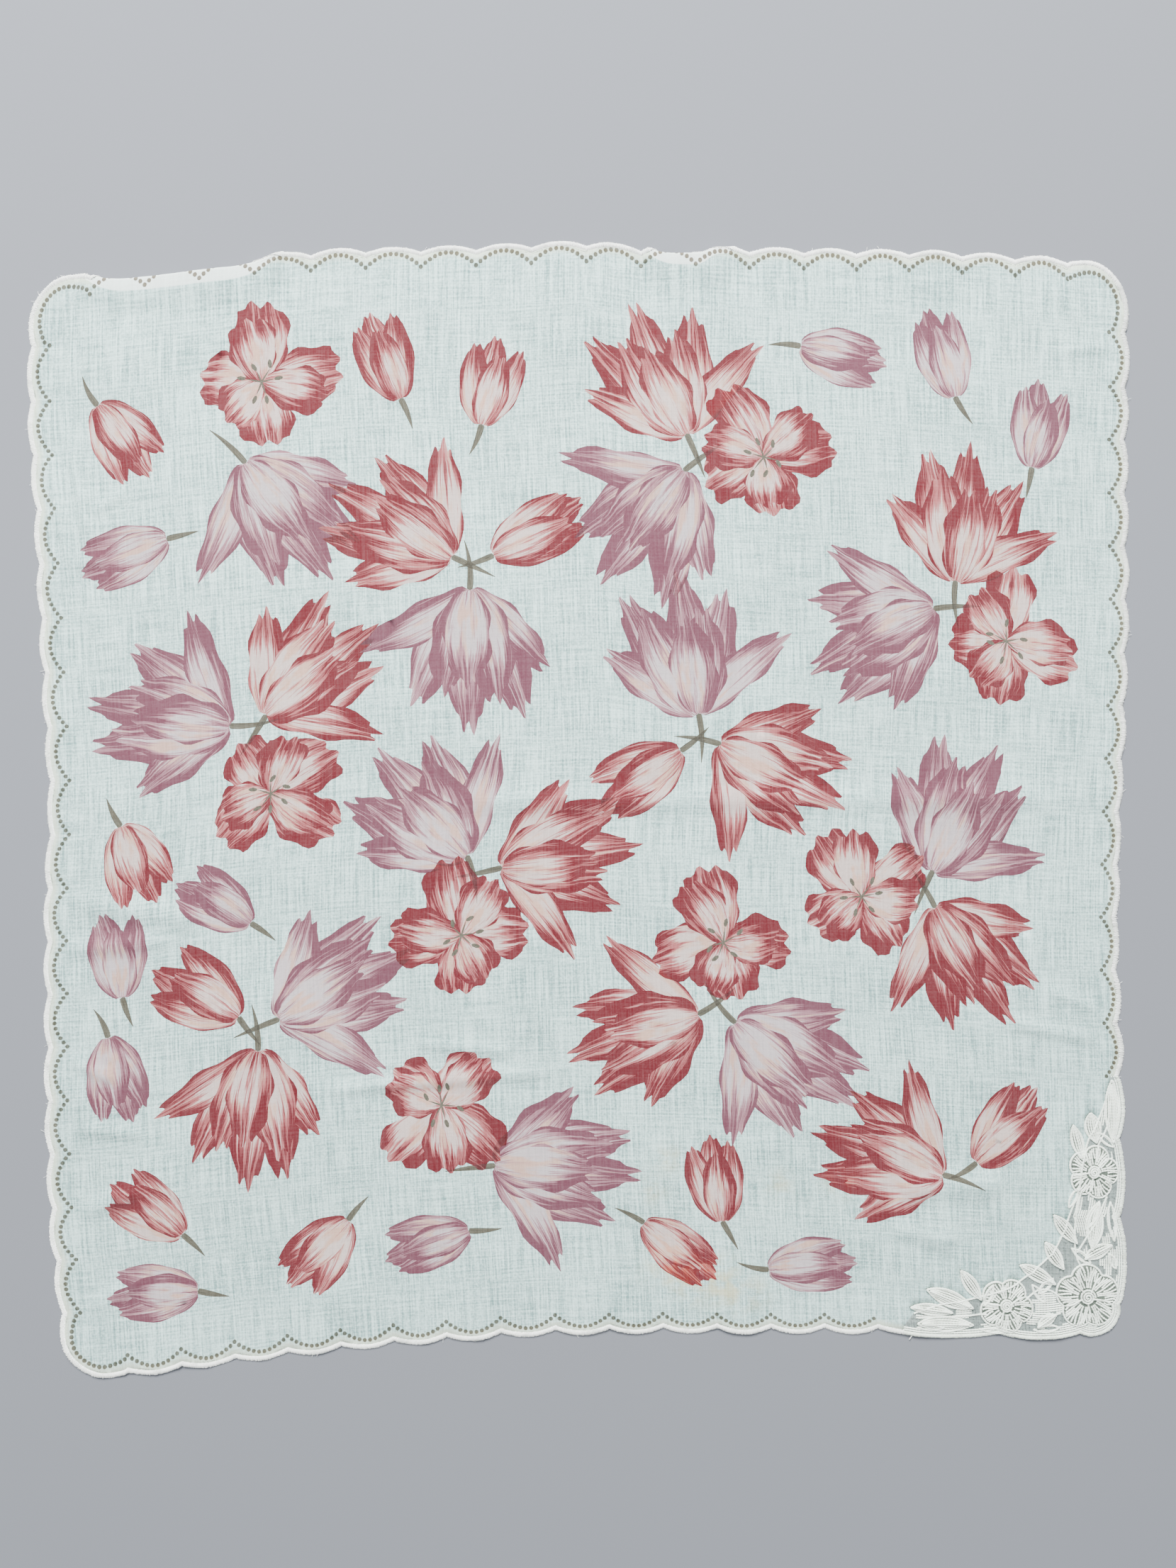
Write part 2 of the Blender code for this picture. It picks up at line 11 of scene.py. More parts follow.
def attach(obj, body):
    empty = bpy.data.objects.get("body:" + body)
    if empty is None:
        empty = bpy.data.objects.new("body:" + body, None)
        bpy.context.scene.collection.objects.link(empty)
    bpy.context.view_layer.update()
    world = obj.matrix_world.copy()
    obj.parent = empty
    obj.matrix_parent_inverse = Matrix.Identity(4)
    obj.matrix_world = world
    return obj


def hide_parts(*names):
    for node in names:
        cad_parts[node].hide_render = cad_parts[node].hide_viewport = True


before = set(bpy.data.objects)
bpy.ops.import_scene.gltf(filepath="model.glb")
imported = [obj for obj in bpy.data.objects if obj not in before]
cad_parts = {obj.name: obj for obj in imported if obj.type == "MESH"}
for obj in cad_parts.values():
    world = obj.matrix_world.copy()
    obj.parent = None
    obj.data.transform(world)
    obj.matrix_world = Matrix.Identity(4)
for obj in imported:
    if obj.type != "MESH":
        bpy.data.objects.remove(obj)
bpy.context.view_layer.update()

# The pattern square
# A lawn square with eighteen scallops a side and three rounded corners. The fourth corner is lace.
# All pieces are drawn on it flat, in millimetres, before the square is laid.

MM = 0.001
HALF_SIDE = 240.0
SCALLOPS = 18
CORNER_REACH = 27.5
CORNER_RADIUS = 21.0
SCALLOP_POINT = 0.9
CORNER_POINT = 0.45
PITCH = 2.0 * (HALF_SIDE - CORNER_REACH) / SCALLOPS
CORNER_STRAIGHT = CORNER_REACH - CORNER_RADIUS
CORNER_RUN = 2.0 * CORNER_STRAIGHT + CORNER_RADIUS * math.pi / 2
SIDE_RUN = SCALLOPS * PITCH
QUARTER = SIDE_RUN + CORNER_RUN
FIRST_LACE_SCALLOP = 14
LAST_LACE_SCALLOP = 4
LACE_START = 3 * QUARTER + FIRST_LACE_SCALLOP * PITCH
LACE_END = 4 * QUARTER + LAST_LACE_SCALLOP * PITCH

# Places anticlockwise round the square, and how deep the scallops are cut there
DEPTH_ROWS = (
    (LAST_LACE_SCALLOP * PITCH, 3.0), (0.35 * QUARTER, 1.7), (0.6 * QUARTER, 2.0), (1.5 * QUARTER, 2.1),
    (2.5 * QUARTER, 1.8), (3.2 * QUARTER, 2.4), (LACE_START, 3.0),
)

Lobe = namedtuple("Lobe", "start length point side")


def smooth(value):
    """Ease from 0 to 1 as value goes from 0 to 1, and stay there outside."""
    value = np.clip(value, 0.0, 1.0)
    return value * value * (3.0 - 2.0 * value)


def between_rows(rows, at, column=1):
    """Read a smooth curve through one column of rows that start with their place."""
    table = np.array(rows)
    places = table[:, 0]
    values = table[:, column]
    before = np.maximum(np.arange(len(places)) - 1, 0)
    after = np.minimum(np.arange(len(places)) + 1, len(places) - 1)
    slopes = (values[after] - values[before]) / (places[after] - places[before])
    at = np.clip(at, places[0], places[-1])
    low = np.clip(np.searchsorted(places, at, side="right") - 1, 0, len(places) - 2)
    span = places[low + 1] - places[low]
    t = (at - places[low]) / span
    rise = (3.0 - 2.0 * t) * t * t
    ease_out = t * (1.0 - t) ** 2 * span * slopes[low]
    ease_in = t * t * (t - 1.0) * span * slopes[low + 1]
    return values[low] + (values[low + 1] - values[low]) * rise + ease_out + ease_in


def base_point(travelled):
    """A point so far anticlockwise round the rounded square, and the way that points inward."""
    quarter, along = divmod(travelled, QUARTER)
    turn = Matrix.Rotation(quarter * math.pi / 2, 2)
    bent = (along - SIDE_RUN - CORNER_STRAIGHT) / CORNER_RADIUS
    if bent <= 0.0:
        return turn @ Vector((HALF_SIDE, along + CORNER_REACH - HALF_SIDE)), turn @ Vector((-1.0, 0.0))
    if bent >= math.pi / 2:
        left = QUARTER - along
        return turn @ Vector((HALF_SIDE - CORNER_REACH + left, HALF_SIDE)), turn @ Vector((0.0, -1.0))
    outward = Matrix.Rotation(bent, 2) @ Vector((1.0, 0.0))
    centre = Vector([HALF_SIDE - CORNER_RADIUS] * 2)
    return turn @ (centre + outward * CORNER_RADIUS), turn @ -outward


def scallop_depth(travelled):
    return float(between_rows(DEPTH_ROWS, travelled))


def edge_lobes():
    """The cloth's scallops and rounded corners, from the lace's upper end to its lower end."""
    lobes = []
    for side in range(4):
        first = LAST_LACE_SCALLOP if side == 0 else 0
        last = FIRST_LACE_SCALLOP if side == 3 else SCALLOPS
        for scallop in range(first, last):
            lobes.append(Lobe(side * QUARTER + scallop * PITCH, PITCH, SCALLOP_POINT, side))
        if side < 3:
            lobes.append(Lobe(side * QUARTER + SIDE_RUN, CORNER_RUN, CORNER_POINT, "corner"))
    return lobes


def lobe_stations(lobes, spacing, depth=None):
    """Points on the plain square, their inward ways, and how far in the lobes' edge is there."""
    stations = []
    for lobe in lobes:
        steps = max(2, round(lobe.length / spacing))
        for step in range(steps):
            u = step / steps
            travelled = lobe.start + u * lobe.length
            notch = 1.0 - abs(math.sin(math.pi * u)) ** lobe.point
            stations.append((*base_point(travelled), notch * (depth or scallop_depth(travelled))))
    end = lobes[-1].start + lobes[-1].length
    stations.append((*base_point(end), depth or scallop_depth(end)))
    return stations


def inset_line(stations, inset):
    """A line so far in at the crests, and deeper at the notches."""
    return [point + inward * (inset + dip) for point, inward, dip in stations]


# How the square lies
# The cloth is spread by hand, so its sides are pulled out of true, a long and a short stretch of
# its upper edge are turned under, and soft creases are left from folding.

# Places along each side, and how far the cloth is pulled right and up there
TOP_PULL = (
    (-240.0, 1.3, -8.3), (-212.0, 1.3, -6.5), (-165.0, 1.5, -1.0), (-118.0, 2.1, 3.2),
    (-70.0, 2.8, 4.9), (-24.0, 3.6, 6.3), (0.0, 4.0, 7.4), (24.0, 4.1, 5.2), (47.0, 4.1, 5.2),
    (64.0, 4.1, 4.8), (94.0, 4.0, 4.1), (142.0, 2.5, 3.3), (165.0, 2.0, 2.4), (212.0, 0.9, -0.1),
    (240.0, 0.3, -1.3),
)
BOTTOM_PULL = (
    (-240.0, 15.5, -10.1), (-212.0, 17.4, -7.6), (-165.0, 16.6, -1.7), (-118.0, 15.4, 3.6),
    (-70.0, 14.2, 7.6), (-24.0, 14.3, 10.5), (24.0, 13.9, 11.4), (94.0, 13.4, 11.2),
    (118.0, 13.0, 11.0), (165.0, 8.5, 9.1), (212.0, 2.5, 9.1), (240.0, -1.0, 9.3),
)
LEFT_PULL = (
    (-240.0, 15.5, -10.1), (-212.0, 13.6, -7.7), (-165.0, 9.4, -9.1), (-110.0, 7.9, -9.6),
    (-60.0, 7.7, -10.6), (-25.0, 7.7, -11.7), (12.5, 9.3, -12.0), (74.0, 6.3, -12.1),
    (136.0, 3.4, -11.9), (186.0, 0.6, -12.1), (212.0, 0.5, -11.4), (240.0, 1.3, -8.3),
)
RIGHT_PULL = (
    (-240.0, -1.0, 9.3), (-212.0, -1.0, 5.7), (-165.0, -1.6, 2.8), (-118.0, -1.9, 1.4),
    (-62.0, -4.2, 0.1), (-12.0, -3.4, -1.2), (25.0, -1.9, -2.1), (74.0, -0.1, -3.2), (118.0, 0.0, -4.1),
    (165.0, -0.2, -5.0), (212.0, 0.4, -5.6), (240.0, 0.3, -1.3),
)
LAID_CENTRE = (0.345, -0.376)

# Places along the upper edge, and how much of the cloth is turned under there
LONG_FOLD = (
    (-232.0, -4.0), (-216.0, 1.5), (-204.0, 4.6), (-190.0, 5.35), (-164.0, 5.35), (-146.0, 4.9),
    (-132.0, 1.5), (-120.0, -4.0),
)
SMALL_FOLD = (
    (18.0, -4.0), (25.0, 0.9), (30.0, 3.2), (36.0, 4.2), (44.0, 4.5), (50.0, 4.1), (56.0, 2.3),
    (63.0, 1.6), (77.0, -4.0),
)
Fold = namedtuple("Fold", "rows steps")
FOLDS = (Fold(LONG_FOLD, 56), Fold(SMALL_FOLD, 30))
FOLD_RADIUS = 0.7
FOLD_CLEARANCE = 0.45
FOLD_LIFT_FLAT = 3.6
FOLD_LIFT_END = 15.0

Crease = namedtuple("Crease", "x0 y0 x1 y1 height width")
CREASES = [Crease(*row) for row in (
    (-79.0, 2.9, 236.0, 4.5, 1.3, 8.0), (65.0, 84.0, 64.0, 10.0, 0.7, 4.0),
    (-221.0, 167.0, -211.0, 111.0, 1.6, 6.0), (-231.0, 155.0, -219.0, 96.0, 1.2, 4.0),
    (-217.0, 123.0, -195.0, 139.5, 0.8, 4.0), (-228.0, 104.0, -204.0, 109.0, 0.8, 4.0),
    (-221.0, -40.0, -159.0, -49.0, 1.8, 9.0), (-226.0, -62.0, -174.0, -57.0, 1.3, 6.0),
    (-221.0, -109.0, -200.0, -119.0, 1.3, 5.0), (-219.0, -139.0, -188.0, -142.0, 1.2, 5.0),
    (-216.0, -177.0, -190.0, -165.0, 1.4, 6.0), (-214.0, -219.0, -188.0, -204.0, 0.9, 6.0),
    (-118.0, -123.0, -4.0, -114.0, 1.3, 5.0), (-74.0, -102.0, -26.0, -106.0, 0.9, 4.0),
    (208.0, 228.0, 218.0, 210.0, 0.8, 3.5), (210.0, 199.0, 230.0, 200.5, 0.8, 3.5),
    (183.0, -92.0, 226.0, -101.0, 1.5, 5.0), (204.0, -79.0, 228.0, -88.0, 1.2, 4.0),
    (138.0, -166.0, 190.0, -163.0, 1.8, 9.0), (137.0, -182.0, 166.0, -190.0, 1.5, 7.0),
)]
CREASE_FADE = 0.2
UNPULL_ROUNDS = 6
RIPPLES = 10
RIPPLE_SEED = 3
RIPPLE_LENGTHS = (20.0, 75.0)
RIPPLE_BEND = 0.16
RIPPLE_BEND_LENGTH = 0.6
RIPPLE_FLAT = 0.40
RIPPLE_HEIGHT = 2.4
PUCKERS_ACROSS = (1.9, 17.0)
PUCKERS_UP = (2.2, 13.0)
PUCKER_FLAT = 0.3
PUCKER_HEIGHT = 0.5
PUCKER_REACH = 26.0
SHEET_LOW = 0.05
SHEET_THICK = 0.4


def pull_askew(x, y):
    """Move points of the pattern square to where the laid cloth has them."""
    up = y / (2.0 * HALF_SIDE) + 0.5
    right = x / (2.0 * HALF_SIDE) + 0.5
    laid = [x, y]
    for axis in range(2):
        column = axis + 1
        low = BOTTOM_PULL[0][column] * (1.0 - right) + BOTTOM_PULL[-1][column] * right
        high = TOP_PULL[0][column] * (1.0 - right) + TOP_PULL[-1][column] * right
        sideways = between_rows(LEFT_PULL, y, column) * (1.0 - right)
        sideways = sideways + between_rows(RIGHT_PULL, y, column) * right
        upright = (between_rows(BOTTOM_PULL, x, column) - low) * (1.0 - up)
        upright = upright + (between_rows(TOP_PULL, x, column) - high) * up
        laid[axis] = laid[axis] + sideways + upright
    return laid[0], laid[1]


def unpulled(x, y):
    """The point of the pattern square that is laid at x, y."""
    flat_x, flat_y = x, y
    for _ in range(UNPULL_ROUNDS):
        laid_x, laid_y = pull_askew(flat_x, flat_y)
        flat_x = flat_x + x - laid_x
        flat_y = flat_y + y - laid_y
    return flat_x, flat_y


def turned_at(x):
    """How much cloth lies past the fold line at x, or less than nothing where none is turned."""
    return np.max([between_rows(fold.rows, x) for fold in FOLDS], axis=0)


def turn_under(x, y, z):
    """Wrap what lies past the fold line round and under, and lift the cloth that covers it."""
    turned = turned_at(x)
    most = FOLD_RADIUS * math.pi
    angle_at_edge = np.clip(turned / FOLD_RADIUS, 0.0, math.pi)
    lift = FOLD_RADIUS * (1.0 - np.cos(angle_at_edge)) + FOLD_CLEARANCE * smooth(turned / most)
    fold_y = HALF_SIDE - turned
    past = y - fold_y
    middle = SHEET_LOW + SHEET_THICK / 2.0
    drop = smooth((-past - FOLD_LIFT_FLAT) / (FOLD_LIFT_END - FOLD_LIFT_FLAT))
    radius = FOLD_RADIUS + z - middle
    axis_z = middle + lift - FOLD_RADIUS
    angle = np.clip(past / FOLD_RADIUS, 0.0, math.pi)
    wrapped_y = fold_y + radius * np.sin(angle) - np.maximum(past - most, 0.0)
    wrapped_z = axis_z + radius * np.cos(angle)
    over = (turned <= 0.0) | (past <= 0.0)
    lifted_z = z + np.where(turned > 0.0, lift * (1.0 - drop), 0.0)
    return np.where(over, y, wrapped_y), np.where(over, lifted_z, wrapped_z)


def crease_height(x, y):
    """How far the creases raise the laid cloth at x, y."""
    raised = np.zeros_like(x)
    for crease in CREASES:
        run_x = crease.x1 - crease.x0
        run_y = crease.y1 - crease.y0
        length = math.hypot(run_x, run_y)
        away_x = x - crease.x0
        away_y = y - crease.y0
        t = (away_x * run_x + away_y * run_y) / length ** 2
        across = np.abs(run_x * away_y - run_y * away_x) / length
        ends = smooth(np.minimum(t, 1.0 - t) / CREASE_FADE)
        raised = np.maximum(raised, crease.height * ends * smooth(1.0 - across / crease.width))
    return raised


def wandering_wave(along, across, length, wander):
    """A wave along the cloth whose crests wander as they cross it."""
    return np.sin(along / length + 2.0 * np.sin(across / wander))


def ripple_height(x, y):
    """How far the cloth's slight waviness raises it at x, y, a little more towards its edges."""
    dice = random.Random(RIPPLE_SEED)
    raised = np.zeros_like(x)
    for _ in range(RIPPLES):
        heading = dice.uniform(0.0, math.pi)
        length = dice.uniform(*RIPPLE_LENGTHS)
        turn = dice.uniform(0.0, 2.0 * math.pi)
        along = x * math.cos(heading) + y * math.sin(heading)
        across = y * math.cos(heading) - x * math.sin(heading)
        bend = np.sin(across / (RIPPLE_BEND_LENGTH * length) + 2.0 * turn)
        bent = along + RIPPLE_BEND * length * bend
        raised += 0.5 + 0.5 * np.sin(2.0 * math.pi * bent / length + turn)
    across = wandering_wave(x, y, *PUCKERS_ACROSS)
    puckers = 0.5 + 0.25 * across + 0.25 * wandering_wave(y, x, *PUCKERS_UP)
    near_edge = smooth((np.maximum(abs(x), abs(y)) - HALF_SIDE + PUCKER_REACH) / PUCKER_REACH)
    waves = np.maximum(raised / RIPPLES - RIPPLE_FLAT, 0.0)
    puckers = np.maximum(puckers - PUCKER_FLAT, 0.0)
    return RIPPLE_HEIGHT * waves + PUCKER_HEIGHT * puckers * near_edge


def lay(points):
    """Take points of a flat piece, in millimetres, to their places in the laid part, in metres."""
    points = np.asarray(points, dtype=float)
    y, z = turn_under(points[:, 0], points[:, 1], points[:, 2])
    laid_x, laid_y = pull_askew(points[:, 0], y)
    z = z + crease_height(laid_x, laid_y) + ripple_height(laid_x, laid_y)
    laid = np.stack((laid_x - LAID_CENTRE[0], laid_y - LAID_CENTRE[1], z), axis=1)
    return laid * MM


# The lace corner's outlines
# The lawn is cut away behind the lace, so the lace's outlines come before the cloth. Here a and b
# are distances in from the square's right side and up from its lower side.

LACE_LOBES = (53.5, 37.0, 28.0, 38.5, 32.5, 25.5)
LACE_LOBE_POINT = 0.7
EDGE_SPACING = 1.5
EDGING_PAST_LACE = 8
LACE_INSET = 0.3
LACE_SQUARE_END = 3.5
LACE_INNER_LINE = (
    (9.0, 112.0), (13.0, 102.0), (18.0, 93.0), (21.0, 82.0), (23.0, 70.0), (27.0, 60.0), (31.0, 50.0),
    (36.0, 42.0), (46.0, 33.0), (57.0, 26.0), (68.0, 22.0), (78.0, 19.0), (88.0, 17.0), (98.0, 14.0),
    (105.0, 11.0),
)
PATH_UNDER_LACE = (
    (5.6, 117.0), (9.0, 100.0), (12.0, 60.0), (12.0, 30.0), (30.0, 12.0), (60.0, 10.0), (100.0, 5.6),
)

Blossom = namedtuple("Blossom", "a b radius turn")
BLOSSOMS = [Blossom(*row) for row in (
    (19.5, 21.0, 16.0, 20.0), (60.0, 16.5, 13.5, 62.0), (15.5, 79.0, 12.5, 5.0),
)]
PETALS = 5
PETAL_NOTCH = 0.22
PETAL_FULLNESS = 0.6
BLOSSOM_STEPS = 80

Leaf = namedtuple("Leaf", "a b tip_a tip_b width")
LEAVES = [Leaf(*row) for row in (
    (31.0, 34.0, 40.0, 47.0, 7.0), (35.0, 27.0, 53.0, 36.0, 7.0), (72.0, 19.0, 82.0, 33.0, 7.0),
    (24.0, 46.0, 35.5, 59.5, 7.0), (21.0, 39.0, 7.0, 46.0, 6.5), (17.0, 43.0, 13.0, 65.0, 8.0),
    (35.0, 13.0, 45.0, 6.0, 5.5), (76.0, 7.0, 104.0, 6.5, 8.0), (76.0, 15.0, 99.0, 23.0, 8.5),
    (86.0, 12.5, 107.0, 14.0, 6.0), (6.0, 92.0, 6.5, 121.0, 7.5), (14.0, 92.0, 17.0, 106.0, 8.5),
    (21.0, 85.0, 25.5, 100.5, 6.5),
)]
LEAF_STEPS = 14
LEAF_FULLNESS = 0.75


def from_corner(a, b):
    return Vector((HALF_SIDE - a, b - HALF_SIDE))


def at_angle(centre, reach, angle):
    return centre + reach * Vector((math.cos(angle), math.sin(angle)))


def lace_lobes():
    """The longer, uneven lobes of the lace's outer edge, from its lower end to its upper end."""
    stretch = (LACE_END - LACE_START) / sum(LACE_LOBES)
    lobes = []
    start = LACE_START
    for length in LACE_LOBES:
        lobes.append(Lobe(start, length * stretch, LACE_LOBE_POINT, "lace"))
        start += length * stretch
    return lobes


def edging_stations():
    """Stations of the cloth's edging, which runs on a little way past the lace's lower end."""
    past = lobe_stations(lace_lobes(), EDGE_SPACING)[:EDGING_PAST_LACE + 1]
    return lobe_stations(edge_lobes(), EDGE_SPACING)[:-1] + past


def lace_stations():
    return lobe_stations(lace_lobes(), EDGE_SPACING)[EDGING_PAST_LACE:]


def lace_ground(grow):
    """The lace's whole ground: its outer edge, then back along its inner edge."""
    outer = inset_line(lace_stations(), LACE_INSET - grow)
    inner = [from_corner(a, b) for a, b in LACE_INNER_LINE]
    square_end = Vector((-LACE_SQUARE_END, 0.0))
    line = [outer[-1] + square_end] + inner + [outer[0] + Vector((0.0, LACE_SQUARE_END))]
    grown = []
    for index, point in enumerate(line):
        before = line[max(index - 1, 0)]
        after = line[min(index + 1, len(line) - 1)]
        along = (after - before).normalized()
        grown.append(point + Vector((along.y, -along.x)) * grow)
    return outer + grown


def blossom_reach(blossom, angle):
    petal = abs(math.cos(PETALS * (angle - math.radians(blossom.turn)) / 2.0)) ** PETAL_FULLNESS
    return blossom.radius * (1.0 - PETAL_NOTCH * (1.0 - petal))


def blossom_ring(blossom, share, grow):
    """A closed ring of a five-petalled blossom, at a share of its outline's reach."""
    centre = from_corner(blossom.a, blossom.b)
    ring = []
    for step in range(BLOSSOM_STEPS):
        angle = 2.0 * math.pi * step / BLOSSOM_STEPS
        ring.append(at_angle(centre, blossom_reach(blossom, angle) * share + grow, angle))
    return ring


def leaf_frame(leaf):
    """A leaf's root, its way to the tip, its way across and its length."""
    root = from_corner(leaf.a, leaf.b)
    to_tip = from_corner(leaf.tip_a, leaf.tip_b) - root
    along = to_tip.normalized()
    return root, along, Vector((-along.y, along.x)), to_tip.length


def leaf_half_width(leaf, t):
    return leaf.width / 2.0 * max(math.sin(math.pi * t), 0.0) ** LEAF_FULLNESS


def leaf_ring(leaf, grow):
    root, along, across, length = leaf_frame(leaf)
    ring = []
    for step in range(2 * LEAF_STEPS):
        there = step <= LEAF_STEPS
        t = step / LEAF_STEPS if there else 2.0 - step / LEAF_STEPS
        side = -1.0 if there else 1.0
        reach = (leaf_half_width(leaf, t) + grow) if 0 < t < 1 else 0.0
        beyond = grow * (2.0 * t - 1.0)
        ring.append(root + along * (t * length + beyond) + across * side * reach)
    return ring


# The printed flowers
# Open blossoms, half-open ones and buds, scattered in half-drop rows and printed in red and mauve
# dyes with taupe stems. Each petal is an outline on the square, with its own way along and across.

PetalCut = namedtuple("PetalCut", "fullness narrowing sharpness tip wave")
CUTS = {
    "broad": PetalCut(0.55, 0.42, 3.0, 0.10, 0.065),
    "cupped": PetalCut(0.36, 0.55, 3.0, 0.14, 0.075),
    "closed": PetalCut(0.34, 0.60, 2.8, 0.10, 0.035),
    "stroke": PetalCut(0.10, 0.90, 1.6, 0.02, 0.0),
}
Petal = namedtuple("Petal", "flower x y heading length width bend cut ink seed")
RED, MAUVE, TAUPE = 0.0, 1.0, 2.0
SIDE_STEPS = 14
SIDE_CROWDING = 1.35
SIDE_WAVE = 1.4
SIDE_WAVES = 13.0
TIP_STEPS = 12
TIP_WAVES = 8.0
SEEDS = 9.0

SprayPetal = namedtuple("SprayPetal", "spread reach width bend")
HALF_OPEN = [SprayPetal(*row) for row in (
    (-30.0, 0.88, 0.50, 0.08), (25.0, 0.95, 0.52, -0.06), (-3.0, 1.00, 0.48, 0.02),
    (-50.0, 0.84, 0.42, -0.12), (42.0, 0.76, 0.46, 0.05), (-24.0, 0.74, 0.50, 0.12),
    (22.0, 0.80, 0.56, -0.10), (-4.0, 0.68, 0.52, 0.04),
)]
BUD = [SprayPetal(*row) for row in (
    (3.0, 1.00, 0.56, 0.00), (-24.0, 0.92, 0.52, 0.16), (25.0, 0.90, 0.54, -0.15),
    (-4.0, 0.80, 0.58, 0.03),
)]

STEM_WIDTH = 3.4
STEM_SHARE = 0.40
STEM_BEND = 0.25
STEM_SWAY = 22.0
BLOSSOM_SIZE = 30.5
BLOSSOM_LAYERS = ((4, 1.0, 0.0), (3, 0.86, 45.0))
BLOSSOM_WIDTH = 1.12
BLOSSOM_MEAN = 0.88
BLOSSOM_LEAN = 0.14
BLOSSOM_SWAY = 10.0
BLOSSOM_BEND = 0.14
STAMENS = 6
STAMEN_REACH = (0.16, 0.24)
STAMEN_WIDTH = 0.9
STAMEN_SWAY = 14.0
ANTHER_LENGTH = 3.4
ANTHER_WIDTH = 2.4
ANTHER_SWAY = 50.0
HALF_OPEN_SIZE = 51.5
BUD_SIZE = 35.0
SPRAY_SWAY = 4.0
SPRAY_BEND = 0.03
ClusterPlace = namedtuple("ClusterPlace", "turn away size")
RED_IN_CLUSTER = ClusterPlace(0.0, 9.0, HALF_OPEN_SIZE)
MAUVE_IN_CLUSTER = ClusterPlace(125.0, 10.0, HALF_OPEN_SIZE * 1.04)
BUD_IN_CLUSTER = ClusterPlace(240.0, 12.0, BUD_SIZE * 1.15)
BLOSSOM_IN_CLUSTER = ClusterPlace(245.0, BLOSSOM_SIZE * 0.98, BLOSSOM_SIZE)
CLUSTER_COLUMNS = 4
CLUSTER_ROWS = range(-2, 3)
CLUSTER_ACROSS = 102.0
CLUSTER_ALONG = 128.0
CLUSTER_TURN = 137.5
FIRST_CLUSTER_TURN = 40.0
JITTER = 7.0
SINGLE_FLOWERS = ((HALF_OPEN_SIZE * 0.86, HALF_OPEN, 500), (BUD_SIZE, BUD, 1200))
SINGLE_GAP = 0.92
MAUVE_SHARE = 0.42
PRINT_SEED = 11
PRINT_MARGIN = 17.0
LACE_MARGIN = 5.0


def petal_half_width(petal, s):
    cut = CUTS[petal.cut]
    s = min(max(s, 0.0), 1.0)
    return petal.width * 0.5 * s ** cut.fullness * (1.0 - cut.narrowing * s ** cut.sharpness)


def petal_point(petal, s, t):
    """A point so far along a petal, and so far across from its right side, -1, to its left, 1."""
    turns = SIDE_WAVES * s + 2.1 * petal.seed + 1.5 * t
    rippled = 1.0 + SIDE_WAVE * CUTS[petal.cut].wave * math.sin(turns)
    along = s * petal.length
    across = petal.bend * petal.length * s * s + t * petal_half_width(petal, s) * rippled
    heading = math.radians(petal.heading)
    x = petal.x + along * math.cos(heading) - across * math.sin(heading)
    y = petal.y + along * math.sin(heading) + across * math.cos(heading)
    return Vector((x, y))


def petal_outline(petal):
    """A petal's outline, anticlockwise from its root round its notched tip."""
    cut = CUTS[petal.cut]
    shares = [(step / SIDE_STEPS) ** SIDE_CROWDING for step in range(1, SIDE_STEPS)]
    right = [petal_point(petal, s, -1.0) for s in shares]
    left = [petal_point(petal, s, 1.0) for s in reversed(shares)]
    tip = []
    for step in range(TIP_STEPS + 1):
        t = 2.0 * step / TIP_STEPS - 1.0
        notch = cut.wave * math.sin(TIP_WAVES * t + 3.7 * petal.seed)
        tip.append(petal_point(petal, 1.0 + (cut.tip + notch) * (1.0 - t * t), t))
    return [petal_point(petal, 0.0, 0.0)] + right + tip + left


def vary(dice, most):
    return dice.uniform(-most, most)


def flower_place(x, y, turn, reach):
    angle = math.radians(turn)
    return x + reach * math.cos(angle), y + reach * math.sin(angle)


def stem(flower, x, y, heading, length, dice):
    return Petal(flower, x, y, heading, length, STEM_WIDTH, vary(dice, STEM_BEND), "stroke", TAUPE,
                 dice.uniform(0.0, SEEDS))


def open_blossom(flower, x, y, turn, size, ink, dice):
    """Four petals behind, three in front, and stamens round the middle."""
    petals = []
    lean = dice.uniform(0.0, 360.0)
    for count, reach, first in BLOSSOM_LAYERS:
        for index in range(count):
            heading = turn + first + 360.0 * index / count + vary(dice, BLOSSOM_SWAY)
            towards = math.cos(math.radians(heading - lean))
            length = size * reach * (BLOSSOM_MEAN + BLOSSOM_LEAN * towards)
            petals.append(Petal(flower, x, y, heading, length, BLOSSOM_WIDTH * size * reach,
                                vary(dice, BLOSSOM_BEND), "broad", ink, dice.uniform(0.0, SEEDS)))
    for index in range(STAMENS):
        heading = turn + 360.0 * index / STAMENS + vary(dice, STAMEN_SWAY)
        reach = size * dice.uniform(*STAMEN_REACH)
        petals.append(Petal(flower, x, y, heading, reach, STAMEN_WIDTH, 0.0, "stroke", TAUPE, 1.0))
        tip = flower_place(x, y, heading, reach)
        petals.append(Petal(flower, *tip, heading + vary(dice, ANTHER_SWAY), ANTHER_LENGTH, ANTHER_WIDTH,
                            0.0, "closed", TAUPE, dice.uniform(0.0, SEEDS)))
    return petals


def on_stem(flower, x, y, heading, size, ink, rows, dice):
    """A half-open blossom or a bud: its stem, then its petals from the back forward."""
    back = heading + 180.0 + vary(dice, STEM_SWAY)
    petals = [stem(flower, x, y, back, size * STEM_SHARE, dice)]
    cut = "cupped" if rows is HALF_OPEN else "closed"
    for row in rows:
        petals.append(Petal(flower, x, y, heading + row.spread + vary(dice, SPRAY_SWAY), size * row.reach,
                            size * row.width, row.bend + vary(dice, SPRAY_BEND), cut, ink,
                            dice.uniform(0.0, SEEDS)))
    return petals


